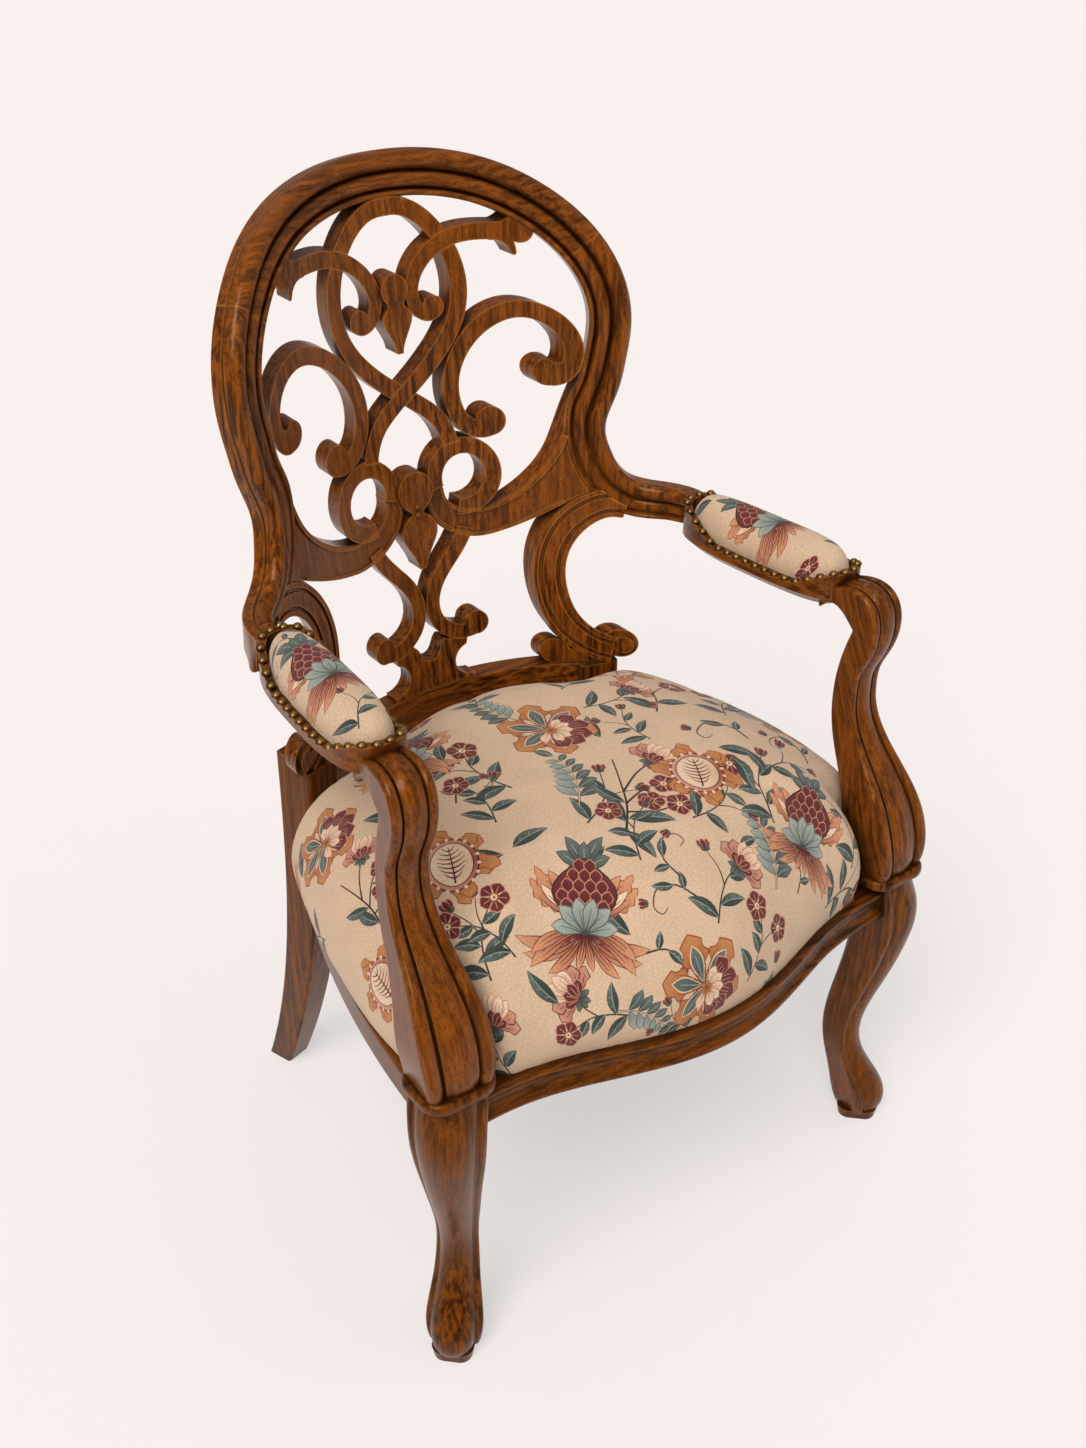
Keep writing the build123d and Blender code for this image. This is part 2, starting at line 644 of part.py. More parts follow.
REAR_LEG_RISE = 474.0
REAR_LEG_TURN = 17.0
REAR_POST_HALF = 192.0      # mid-plane to rear leg axis at the seat
REAR_POST_AHEAD = 84.0      # rear foot centre to leg axis at the seat


def rear_spot(z):
    """Axis of the rear leg at a height: swept back towards the floor."""
    share = 1 - (1 - min(z / REAR_RAIL_TOP, 1.0)) ** 2.4
    return REAR_FOOT_HALF + (REAR_POST_HALF - REAR_FOOT_HALF) * share, -REAR_POST_AHEAD * share


def rear_leg():
    """Square leg swept back and tapering to the floor, halved at the top for the bracket."""
    rings = []
    for i in range(6):
        z = REAR_LEG_RISE * i / 5
        size = REAR_LEG_FOOT + (REAR_LEG_TOP - REAR_LEG_FOOT) * sin(pi / 2 * i / 5)
        rings.append(Pos(*rear_spot(z), z) * Rot(0, 0, -REAR_LEG_TURN) * RectangleRounded(size, size, 3.5))
    seat_of_bracket = Pos(REAR_POST_HALF, REAR_RAIL_TOP + 100) * Rectangle(200, 200)
    return body(loft(rings) - cut_board(seat_of_bracket, slab(60, -STRAP_THICK)))


# Seat

def front_edge(inset=0.0):
    """Points of the serpentine line of the front rail, from left to right."""
    span = FRONT_LEG_HALF - 10.0
    ends = -FRONT_LEG_AHEAD - 26.0
    reach = span - 27.0
    points = []
    for i in range(-6, 7):
        x = span * i / 6
        swing = (1 + cos(pi * min(abs(x) / reach, 1.0))) / 2
        points.append((x, ends - FRONT_BOW * swing + inset))
    return points


def rail_section(flat):
    """Seat rail section, outer face towards +X: two beads with a hollow, or a plain rounded face."""
    d, t = RAIL_DEEP, RAIL_THICK
    if flat:
        return Pos(-t / 2, -d / 2) * RectangleRounded(t, d, 6)
    edges = [
        Line((-t, 0), (-5, 0)),
        ThreePointArc((-5, 0), (-0.6, -3.2), (-3, -8)),
        ThreePointArc((-3, -8), (-6.5, -d * 0.48), (-3, -d + 11)),
        ThreePointArc((-3, -d + 11), (0.6, -d + 6.5), (-2, -d + 3)),
        Line((-2, -d + 3), (-6, -d)),
        Line((-6, -d), (-t, -d)),
        Line((-t, -d), (-t, 0)),
    ]
    return make_face(edges)


def swept_rail(path, flat):
    start = path @ 0
    travel = path % 0
    out = Vector(travel.Y, -travel.X, 0)
    section = Plane(origin=start, x_dir=out, z_dir=out.cross(Vector(0, 0, 1))) * rail_section(flat)
    return sweep(section, path)


def front_rail():
    return swept_rail(Pos(0, 0, RAIL_TOP) * Spline(*front_edge(), tangents=((1, 0), (1, 0))), False)


def side_line(inset=0.0):
    """Outer line of the right side rail: front end, middle and rear end."""
    front = (FRONT_LEG_HALF + 24 - inset, -FRONT_LEG_AHEAD + 10)
    rear = (REAR_POST_HALF + 17 - inset, -REAR_POST_AHEAD + 2)
    middle = ((front[0] + rear[0]) / 2 + 17, (front[1] + rear[1]) / 2)
    return front, middle, rear


def side_rail():
    return swept_rail(Pos(0, 0, RAIL_TOP) * ThreePointArc(*side_line()), True)


def rear_rail():
    """Straight rail between the rear legs, at the height of the other rails."""
    z = RAIL_TOP - RAIL_DEEP / 2
    return Pos(0, rear_spot(z)[1], z) * Box(2 * REAR_POST_HALF, RAIL_THICK, RAIL_DEEP)


def stay_rail():
    outline = Pos(0, REAR_RAIL_TOP - 21) * Rectangle(2 * REAR_POST_HALF - 10, 42)
    return cut_board(outline, slab(2, -STRAP_THICK - 2))


WEB_THICK = 0.9
SCREW = 4.4                 # shank of the corner block screws


def corner_block(x, y, reach):
    """Block filling a corner of the seat frame; x and y lie outside it, reach is along each rail."""
    side = 1 if y < -REAR_POST_AHEAD * 2 else -1
    shape = make_face(Polyline((x, y), (x - reach, y), (x, y + side * reach), close=True))
    return extrude(Pos(0, 0, RAIL_TOP - RAIL_DEEP + 5) * shape, RAIL_DEEP - 12)


def block_screw(x, y, angle, length, spare=0.0):
    """Pan-headed screw lying level, its head face at x, y; spare widens it for the bore."""
    place = Pos(x, y, RAIL_TOP - RAIL_DEEP / 2) * Rot(0, 0, angle) * Rot(0, 90, 0)
    shank = Pos(0, 0, length / 2) * Cylinder(SCREW / 2 + spare, length)
    if spare:
        return place * shank
    return place * (shank + Pos(0, 0, -1.4) * Cylinder(SCREW, 2.8))


def webbing():
    """Lengthwise straps under the rails with cross straps below them."""
    low = RAIL_TOP - RAIL_DEEP
    straps = []
    for x in (-150, -75, 0, 75, 150):
        front = -FRONT_LEG_AHEAD - 20
        rear = -REAR_POST_AHEAD * 0.6
        straps.append(Pos(x, (front + rear) / 2, low - WEB_THICK / 2) * Box(50, rear - front, WEB_THICK))
    for share in (0.2, 0.4, 0.6, 0.8):
        y = -REAR_POST_AHEAD - (FRONT_LEG_AHEAD - REAR_POST_AHEAD) * share
        half = REAR_POST_HALF + (FRONT_LEG_HALF - REAR_POST_HALF) * share + 6
        straps.append(Pos(0, y, low - WEB_THICK * 1.5) * Box(2 * half, 50, WEB_THICK))
    return Compound(children=straps)


def dust_cover():
    """Cloth tacked under the seat frame."""
    return extrude(Pos(0, 0, RAIL_TOP - RAIL_DEEP - 2 * WEB_THICK - 0.8) * seat_outline(0.95, 4.0), 0.7)


def seat_outline(share, swell=SEAT_SWELL):
    """Plan of the seat, shrunk towards its crown; swell is the overhang at the rear of the side rails."""
    front = [(x, y) for x, y in front_edge(4.0) if abs(x) < FRONT_LEG_HALF - 30]
    f, m, r = side_line(3.0)
    corner = (FRONT_LEG_HALF + 17, -FRONT_LEG_AHEAD + 44)
    tail = (r[0] + swell, r[1] - 46)
    waist = ((corner[0] + tail[0]) / 2 + 20, (corner[1] + tail[1]) / 2)
    hug = [(x, on_back(x, REAR_RAIL_TOP).Y - 20) for x in (-150, -75, 0, 75, 150)]
    rear = [(-tail[0], tail[1])] + hug + [tail]
    centre = -FRONT_LEG_AHEAD * 0.4
    def s(p):
        return (p[0] * share, centre + (p[1] - centre) * share)
    def flip(p):
        return (-p[0], p[1])
    edges = [
        Spline(*[s(p) for p in front]),
        Line(s(front[-1]), s(corner)),
        ThreePointArc(s(corner), s(waist), s(tail)),
        Spline(*[s(p) for p in reversed(rear)]),
        ThreePointArc(s(flip(tail)), s(flip(waist)), s(flip(corner))),
        Line(s(flip(corner)), s(front[0])),
    ]
    return make_face(edges)


def seat():
    """Domed upholstered seat, drawn in at the rails and cut round the arm supports."""
    low = RAIL_TOP + CLOTH_GAP
    rise = SEAT_CROWN - low
    levels = [
        (0, 0.98, 0.3), (0.17, 1.0, 0.85), (0.45, 0.98, 1.0), (0.72, 0.89, 1.0), (0.9, 0.72, 1.0),
        (1.0, 0.42, 1.0),
    ]
    dome = loft([Pos(0, 0, low + rise * h) * seat_outline(s, SEAT_SWELL * k) for h, s, k in levels])
    for side in (1, -1):
        place = Pos(side * (FRONT_LEG_HALF + 4), -FRONT_LEG_AHEAD + 6, RAIL_TOP)
        dome = dome - extrude(place * RectangleRounded(SUPPORT_BULB + 16, 92, 20), 200, both=True)
    return body(dome)


def build():
    crest = crest_rail()
    stile_right = stile()
    parts = {"crest_rail": crest, "stile_right": stile_right, "stile_left": left_of(stile_right)}
    parts.update(scrollwork(stile_right, crest))
    back_leg = rear_leg()
    leg = front_leg()
    arm_right = arm()
    post = body(arm_support() - arm_right)
    spots = nail_spots()
    heads = [nail_head(*spot) for spot in spots]
    arm_right = body(arm_right - stile_right)
    for spot, head in zip(spots, heads):
        if spot[0] < 60 or spot[0] > PAD_LENGTH - 50:
            arm_right = arm_right - head
    bracket = body(parts["c_scroll_right"] - back_leg)
    stay = body(stay_rail() - back_leg - left_of(back_leg))
    rear = body(rear_rail() - back_leg - left_of(back_leg))
    front = body(front_rail() - leg - left_of(leg))
    rail = body(side_rail() - leg - back_leg)
    front_block = body(corner_block(FRONT_LEG_HALF + 25, -FRONT_LEG_AHEAD - 18, 118) - leg - front - rail)
    rear_block = body(corner_block(REAR_POST_HALF + 20, -REAR_POST_AHEAD + 10, 100) - back_leg - rear - rail)
    front = body(front - left_of(front_block))
    front_spot = (FRONT_LEG_HALF - 34, -FRONT_LEG_AHEAD + 41, -45)
    back_spot = (REAR_POST_HALF - 32, -REAR_POST_AHEAD - 38, 45)
    screws = [block_screw(*front_spot, 42), block_screw(*back_spot, 42)]
    front_bore = block_screw(*front_spot, 43, SCREW_FIT)
    rear_bore = block_screw(*back_spot, 43, SCREW_FIT)
    front_block, leg = front_block - front_bore, leg - front_bore
    rear_block, back_leg = rear_block - rear_bore, back_leg - rear_bore
    parts["stay_rail"] = stay
    parts["rear_seat_rail"] = rear
    parts["front_seat_rail"] = front
    parts["seat_upholstery"] = seat()
    parts["seat_webbing"] = webbing()
    parts["dust_cover"] = dust_cover()
    sided = {"c_scroll": bracket, "rear_leg": back_leg, "front_leg": leg, "arm": arm_right}
    sided.update({"arm_support": post, "side_seat_rail": rail, "arm_pad": arm_pad()})
    sided.update({"front_corner_block": front_block, "rear_corner_block": rear_block})
    for name, solid in sided.items():
        parts[name + "_right"] = solid
        parts[name + "_left"] = left_of(solid)
    parts["arm_nails_right"] = Compound(children=heads)
    parts["arm_nails_left"] = Compound(children=[left_of(head) for head in heads])
    parts["corner_block_screws"] = Compound(children=screws + [left_of(screw) for screw in screws])
    return parts


def main():
    """Write one STEP file per piece, with the origin on the floor under the middle of the chair."""
    os.makedirs("parts", exist_ok=True)
    parts = build()
    boxes = [piece.bounding_box() for piece in parts.values()]
    middle = (min(b.min.Y for b in boxes) + max(b.max.Y for b in boxes)) / 2
    for name, piece in parts.items():
        export_step(Pos(0, -middle, 0) * piece, f"parts/{name}.step")


if __name__ == "__main__":
    main()
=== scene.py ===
"""Carved open armchair: stained walnut frame, floral tapestry seat and arm pads, aged brass nails."""
from math import atan2, cos, log, pi, radians, sin

import bpy
import numpy as np
from mathutils import Euler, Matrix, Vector
from mathutils.bvhtree import BVHTree
from mathutils.geometry import delaunay_2d_cdt


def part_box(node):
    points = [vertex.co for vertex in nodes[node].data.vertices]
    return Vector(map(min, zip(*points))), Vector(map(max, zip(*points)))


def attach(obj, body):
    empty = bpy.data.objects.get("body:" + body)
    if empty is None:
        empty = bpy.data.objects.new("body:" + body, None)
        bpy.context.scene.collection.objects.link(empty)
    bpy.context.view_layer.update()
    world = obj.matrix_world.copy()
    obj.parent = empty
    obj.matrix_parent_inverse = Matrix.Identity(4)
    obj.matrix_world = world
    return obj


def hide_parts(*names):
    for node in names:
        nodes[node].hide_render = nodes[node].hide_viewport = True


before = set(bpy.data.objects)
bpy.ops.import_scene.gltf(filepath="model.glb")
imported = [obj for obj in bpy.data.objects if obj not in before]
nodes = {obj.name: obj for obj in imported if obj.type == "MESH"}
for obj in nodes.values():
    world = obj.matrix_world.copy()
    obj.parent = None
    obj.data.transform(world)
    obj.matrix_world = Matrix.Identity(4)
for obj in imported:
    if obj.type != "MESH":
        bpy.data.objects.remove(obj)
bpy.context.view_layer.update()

scene = bpy.context.scene
MM = 0.001
BAND = (0.005, 0.26)        # growth bands of walnut: width and length in metres
PORE = (0.0008, 0.016)      # open pores, drawn twice as coarse as real so that they show
YARN = 0.0015               # tapestry yarns, 0.8 mm apart in the real cloth, drawn wider so that they show
EASE = 0.0012               # easing of the carved edges
SWELL_STEPS = 20            # frames in which the stuffing swells


# Colours and shader nodes

def rgb(code):
    """Linear colour with alpha from an sRGB hex value."""
    parts = [int(code[i:i + 2], 16) / 255 for i in (1, 3, 5)]
    return [c / 12.92 if c <= 0.04045 else ((c + 0.055) / 1.055) ** 2.4 for c in parts] + [1.0]


def add(tree, kind, inputs=None, **settings):
    """New shader node with its settings; inputs are values, or sockets to link."""
    made = tree.nodes.new(kind)
    for key, value in settings.items():
        setattr(made, key, value)
    for key, value in (inputs or {}).items():
        if isinstance(value, bpy.types.NodeSocket):
            tree.links.new(value, made.inputs[key])
        else:
            made.inputs[key].default_value = value
    return made


def start_material(name):
    """New material with its node tree and its main shader."""
    made = bpy.data.materials.new(name)
    made.use_nodes = True
    tree = made.node_tree
    return made, tree, tree.nodes["Principled BSDF"]


def walnut(name, along, stain_and_shade_depth, coat, lean=0.0):
    """Stained walnut, glazed dark in the hollows with painted shade, rubbed back on the edges with a painted
    highlight, and lacquered.

    along is the axis of the grain and lean tips the grain back; the third argument sets the lightness of the
    stain together with painted shade, set darker for the lower pieces.
    """
    made, tree, shader = start_material(name)

    def stained(code):
        # colours of the stain, scaled darker on the lower pieces as painted shade
        return [c * stain_and_shade_depth for c in rgb(code)[:3]] + [1.0]

    place = add(tree, "ShaderNodeTexCoord").outputs["Object"]
    tip = (radians(lean), 0.0, 0.0)
    place = add(tree, "ShaderNodeMapping", {"Vector": place, "Rotation": tip}).outputs[0]
    drift = add(tree, "ShaderNodeTexNoise", {"Vector": place, "Scale": 14.0, "Detail": 2.0}).outputs["Color"]
    bent = add(tree, "ShaderNodeVectorMath", {0: drift, 1: (0.5, 0.5, 0.5)}, operation="SUBTRACT").outputs[0]
    bent = add(tree, "ShaderNodeVectorMath", {0: bent, "Scale": 0.009}, operation="SCALE").outputs[0]
    bent = add(tree, "ShaderNodeVectorMath", {0: place, 1: bent}, operation="ADD").outputs[0]
    stretch = [1 / BAND[0]] * 3
    stretch[along] = 1 / BAND[1]
    bands = add(tree, "ShaderNodeMapping", {"Vector": bent, "Scale": stretch}).outputs[0]
    bands = add(tree, "ShaderNodeTexNoise", {"Vector": bands, "Scale": 1.0, "Detail": 4.0, "Roughness": 0.6})
    bands = bands.outputs["Fac"]
    fine = [1 / PORE[0]] * 3
    fine[along] = 1 / PORE[1]
    pores = add(tree, "ShaderNodeMapping", {"Vector": bent, "Scale": fine}).outputs[0]
    pores = add(tree, "ShaderNodeTexNoise", {"Vector": pores, "Scale": 1.0, "Detail": 2.0}).outputs["Fac"]
    band = add(tree, "ShaderNodeMapRange", {0: bands, 1: 0.40, 2: 0.61}).outputs[0]
    pore = add(tree, "ShaderNodeMapRange", {0: pores, 1: 0.36, 2: 0.5, 3: 1.0, 4: 0.0}).outputs[0]
    stain = add(tree, "ShaderNodeTexNoise", {"Vector": place, "Scale": 5.0, "Detail": 1.0}).outputs["Fac"]
    stain = add(tree, "ShaderNodeMapRange", {0: stain, 1: 0.35, 2: 0.7}).outputs[0]
    dark, light = stained("#2A1205"), stained("#A05818")
    wood = add(tree, "ShaderNodeMix", {0: band, 6: dark, 7: light}, data_type="RGBA").outputs[2]
    amber = add(tree, "ShaderNodeMath", {0: stain, 1: 0.5}, operation="MULTIPLY").outputs[0]
    wood = add(tree, "ShaderNodeMix", {0: amber, 6: wood, 7: stained("#9C5312")}, data_type="RGBA").outputs[2]
    dark_pore = add(tree, "ShaderNodeMath", {0: pore, 1: 0.55}, operation="MULTIPLY").outputs[0]
    filler = stained("#1E0D04")
    wood = add(tree, "ShaderNodeMix", {0: dark_pore, 6: wood, 7: filler}, data_type="RGBA").outputs[2]
    # rubbed edges with a painted highlight: lighter where a 3 mm easing would turn the surface
    eased = add(tree, "ShaderNodeBevel", {"Radius": 0.003}, samples=6).outputs[0]
    plain = add(tree, "ShaderNodeNewGeometry").outputs["Normal"]
    turn = add(tree, "ShaderNodeVectorMath", {0: eased, 1: plain}, operation="DOT_PRODUCT").outputs["Value"]
    wear_and_painted_highlight = add(tree, "ShaderNodeMapRange", {0: turn, 1: 0.995, 2: 0.86, 3: 0.0, 4: 0.68}).outputs[0]
    wood = add(tree, "ShaderNodeMix", {0: wear_and_painted_highlight, 6: wood, 7: stained("#C67C30")}, data_type="RGBA").outputs[2]
    # dark glazing in the hollows with painted shade: ambient occlusion darkens the hollows and the gaps
    # between parts
    near = add(tree, "ShaderNodeAmbientOcclusion", {"Distance": 0.016}, samples=8).outputs["AO"]
    glaze_and_painted_shade = add(tree, "ShaderNodeMapRange", {0: near, 1: 0.93, 2: 0.40, 3: 0.0, 4: 0.80}).outputs[0]
    wood = add(tree, "ShaderNodeMix", {0: glaze_and_painted_shade, 6: wood, 7: rgb("#1C0D05")}, data_type="RGBA").outputs[2]
    tree.links.new(wood, shader.inputs["Base Color"])
    rough = add(tree, "ShaderNodeMapRange", {0: bands, 1: 0.3, 2: 0.7, 3: 0.26, 4: 0.38}).outputs[0]
    tree.links.new(rough, shader.inputs["Roughness"])
    shader.inputs["IOR"].default_value = 1.5
    shader.inputs["Specular IOR Level"].default_value = 0.45
    shader.inputs["Specular Tint"].default_value = rgb("#CF9452")
    shader.inputs["Coat Weight"].default_value = coat
    shader.inputs["Coat Roughness"].default_value = 0.16
    relief = add(tree, "ShaderNodeMath", {0: pores, 1: bands}, operation="ADD").outputs[0]
    bump = add(tree, "ShaderNodeBump", {"Height": relief, "Strength": 0.12, "Distance": 0.0006})
    tree.links.new(bump.outputs[0], shader.inputs["Normal"])
    return made


def tapestry(name):
    """Jacquard-woven cotton tapestry: coloured yarns in a ribbed weave, matt with a soft nap."""
    made, tree, shader = start_material(name)
    dye = add(tree, "ShaderNodeVertexColor", layer_name="yarn").outputs["Color"]
    flat = add(tree, "ShaderNodeUVMap", uv_map="cloth").outputs[0]
    pitch = 2 * pi / YARN
    across = add(tree, "ShaderNodeSeparateXYZ", {0: flat})
    ribs = []
    for axis in (0, 1):
        wave = add(tree, "ShaderNodeMath", {0: across.outputs[axis], 1: pitch}, operation="MULTIPLY")
        ribs.append(add(tree, "ShaderNodeMath", {0: wave.outputs[0]}, operation="SINE").outputs[0])
    weave = add(tree, "ShaderNodeMath", {0: ribs[0], 1: ribs[1]}, operation="MULTIPLY").outputs[0]
    slub = add(tree, "ShaderNodeTexNoise", {"Vector": flat, "Scale": 420.0, "Detail": 3.0, "Roughness": 0.7})
    slub = slub.outputs["Fac"]
    patch = add(tree, "ShaderNodeTexNoise", {"Vector": flat, "Scale": 26.0, "Detail": 3.0}).outputs["Fac"]
    tone = add(tree, "ShaderNodeMapRange", {0: weave, 1: -1.0, 2: 1.0, 3: 0.88, 4: 1.06}).outputs[0]
    fleck = add(tree, "ShaderNodeMapRange", {0: slub, 1: 0.3, 2: 0.7, 3: 0.8, 4: 1.14}).outputs[0]
    shade = add(tree, "ShaderNodeMapRange", {0: patch, 1: 0.3, 2: 0.7, 3: 0.95, 4: 1.04}).outputs[0]
    tone = add(tree, "ShaderNodeMath", {0: tone, 1: fleck}, operation="MULTIPLY").outputs[0]
    tone = add(tree, "ShaderNodeMath", {0: tone, 1: shade}, operation="MULTIPLY").outputs[0]
    yarn = add(tree, "ShaderNodeVectorMath", {0: dye, "Scale": tone}, operation="SCALE").outputs[0]
    tree.links.new(yarn, shader.inputs["Base Color"])
    shader.inputs["Roughness"].default_value = 0.88
    shader.inputs["Specular IOR Level"].default_value = 0.25
    shader.inputs["Sheen Weight"].default_value = 0.12
    shader.inputs["Sheen Roughness"].default_value = 0.5
    height = add(tree, "ShaderNodeMath", {0: weave, 1: slub}, operation="ADD").outputs[0]
    bump = add(tree, "ShaderNodeBump", {"Height": height, "Strength": 0.35, "Distance": 0.0006})
    tree.links.new(bump.outputs[0], shader.inputs["Normal"])
    return made


def aged_brass(name):
    """Pressed brass nail heads, browned with age, rubbed bright and with a painted highlight where they face
    up.
    """
    made, tree, shader = start_material(name)
    place = add(tree, "ShaderNodeTexCoord").outputs["Object"]
    tarnish = add(tree, "ShaderNodeTexNoise", {"Vector": place, "Scale": 260.0, "Detail": 3.0}).outputs["Fac"]
    normal = add(tree, "ShaderNodeNewGeometry").outputs["Normal"]
    facing = add(tree, "ShaderNodeSeparateXYZ", {0: normal}).outputs["Z"]
    # painted highlight with wear: lighter where the surface faces up
    upward_wear_and_highlight = add(tree, "ShaderNodeMapRange", {0: facing, 1: 0.2, 2: 0.95}).outputs[0]
    mixed = add(tree, "ShaderNodeMath", {0: upward_wear_and_highlight, 1: tarnish}, operation="MULTIPLY").outputs[0]
    dark, light = rgb("#3E2A14"), rgb("#C29A58")
    metal = add(tree, "ShaderNodeMix", {0: mixed, 6: dark, 7: light}, data_type="RGBA").outputs[2]
    tree.links.new(metal, shader.inputs["Base Color"])
    rough = add(tree, "ShaderNodeMapRange", {0: tarnish, 1: 0.3, 2: 0.7, 3: 0.28, 4: 0.5}).outputs[0]
    tree.links.new(rough, shader.inputs["Roughness"])
    shader.inputs["Metallic"].default_value = 1.0
    return made


def plain_weave(name, low, high, pitch_mm):
    """Coarse plain-woven cloth of one yarn, drawn at its own thread spacing."""
    made, tree, shader = start_material(name)
    place = add(tree, "ShaderNodeTexCoord").outputs["Object"]
    axes = add(tree, "ShaderNodeSeparateXYZ", {0: place})
    pitch = 2 * pi / (pitch_mm * MM)
    waves = []
    for axis in (0, 1):
        turns = add(tree, "ShaderNodeMath", {0: axes.outputs[axis], 1: pitch}, operation="MULTIPLY")
        waves.append(add(tree, "ShaderNodeMath", {0: turns.outputs[0]}, operation="SINE").outputs[0])
    weave = add(tree, "ShaderNodeMath", {0: waves[0], 1: waves[1]}, operation="MULTIPLY").outputs[0]
    fuzz = add(tree, "ShaderNodeTexNoise", {"Vector": place, "Scale": 300.0, "Detail": 3.0}).outputs["Fac"]
    tone = add(tree, "ShaderNodeMath", {0: weave, 1: 0.35, 2: fuzz}, operation="MULTIPLY_ADD").outputs[0]
    yarn = add(tree, "ShaderNodeMix", {0: tone, 6: rgb(low), 7: rgb(high)}, data_type="RGBA").outputs[2]
    tree.links.new(yarn, shader.inputs["Base Color"])
    shader.inputs["Roughness"].default_value = 0.92
    bump = add(tree, "ShaderNodeBump", {"Height": weave, "Strength": 0.4, "Distance": 0.0008})
    tree.links.new(bump.outputs[0], shader.inputs["Normal"])
    return made


def raw_beech(name):
    """Sawn beech, unfinished, with short ray flecks."""
    made, tree, shader = start_material(name)
    place = add(tree, "ShaderNodeTexCoord").outputs["Object"]
    fleck = add(tree, "ShaderNodeMapping", {"Vector": place, "Scale": (250.0, 1200.0, 1200.0)}).outputs[0]
    fleck = add(tree, "ShaderNodeTexNoise", {"Vector": fleck, "Scale": 1.0, "Detail": 2.0}).outputs["Fac"]
    dark, light = rgb("#8E6239"), rgb("#C99B6A")
    wood = add(tree, "ShaderNodeMix", {0: fleck, 6: dark, 7: light}, data_type="RGBA").outputs[2]
    tree.links.new(wood, shader.inputs["Base Color"])
    shader.inputs["Roughness"].default_value = 0.7
    bump = add(tree, "ShaderNodeBump", {"Height": fleck, "Strength": 0.2, "Distance": 0.0005})
    tree.links.new(bump.outputs[0], shader.inputs["Normal"])
    return made


def screw_steel(name):
    """Plain steel screws, dulled in store."""
    made, tree, shader = start_material(name)
    place = add(tree, "ShaderNodeTexCoord").outputs["Object"]
    dull = add(tree, "ShaderNodeTexNoise", {"Vector": place, "Scale": 500.0, "Detail": 2.0}).outputs["Fac"]
    dark, light = rgb("#6E6A64"), rgb("#B4B0A8")
    metal = add(tree, "ShaderNodeMix", {0: dull, 6: dark, 7: light}, data_type="RGBA").outputs[2]
    tree.links.new(metal, shader.inputs["Base Color"])
    shader.inputs["Metallic"].default_value = 1.0
    shader.inputs["Roughness"].default_value = 0.38
    return made


# Frame of the chair: the solids keep their shape and get eased edges

# painted shade: the wood is made darker lower down the frame, darkest below the seat
WALNUT = {}
for word, stain_and_shade_depth, coat in (("upper", 0.74, 0.16), ("middle", 0.66, 0.16), ("lower", 0.50, 0.05)):
    for i, axis in enumerate("xyz"):
        WALNUT[word, i] = walnut("stained_walnut_" + word + "_" + axis, i, stain_and_shade_depth, coat)
WALNUT["support", 2] = walnut("stained_walnut_support", 2, 0.64, 0.16, 20.0)
LOWER = ("front_leg", "rear_leg", "front_seat_rail", "side_seat_rail", "rear_seat_rail")
MIDDLE = ("arm", "stay_rail")
# axis of the grain: across the chair or front to back; in all other pieces it stands up
LENGTHWAYS = {
    "crest_rail": 0, "front_seat_rail": 0, "rear_seat_rail": 0, "stay_rail": 0,
    "arm": 1, "side_seat_rail": 1,
}


def dress_frame():
    """Finish of every solid, with eased edges on the show wood."""
    other = {
        "arm_nails": aged_brass("aged_brass"),
        "seat_webbing": plain_weave("jute_webbing", "#6E5634", "#A98C5E", 2.2),
        "dust_cover": plain_weave("black_cambric", "#0C0C0D", "#26262A", 1.2),
        "corner_block_screws": screw_steel("steel_screw"),
        "front_corner_block": raw_beech("raw_beech"),
    }
    other["rear_corner_block"] = other["front_corner_block"]
    for name, piece in nodes.items():
        kind = name.replace("_right", "").replace("_left", "")
        word = "lower" if kind in LOWER else "middle" if kind in MIDDLE else "upper"
        word = "support" if kind == "arm_support" else word
        finish = other.get(kind) or WALNUT[word, LENGTHWAYS.get(kind, 2)]
        piece.data.materials.clear()
        piece.data.materials.append(finish)
        if kind in other:
            continue
        weld = piece.modifiers.new("one_skin", "WELD")
        weld.merge_threshold = 0.00002
        ease = piece.modifiers.new("eased_edges", "BEVEL")
        ease.width = EASE
        ease.segments = 2
        ease.limit_method = "ANGLE"
        ease.angle_limit = radians(38)
        ease.use_clamp_overlap = True
        smooth = piece.modifiers.new("smooth_faces", "WEIGHTED_NORMAL")
        smooth.weight = 60
        smooth.keep_sharp = False
    cut_webbing()


def cut_webbing():
    """Jute straps under the seat, cut off just inside the back of the rear rail."""
    straps = bpy.data.objects.new("webbing_straps", nodes["seat_webbing"].data.copy())
    scene.collection.objects.link(straps)
    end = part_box("rear_seat_rail")[1][1] - 0.004
    for corner in straps.data.vertices:
        corner.co.y = min(corner.co.y, end)
    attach(straps, "root")
    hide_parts("seat_webbing")


# Stuffed pieces

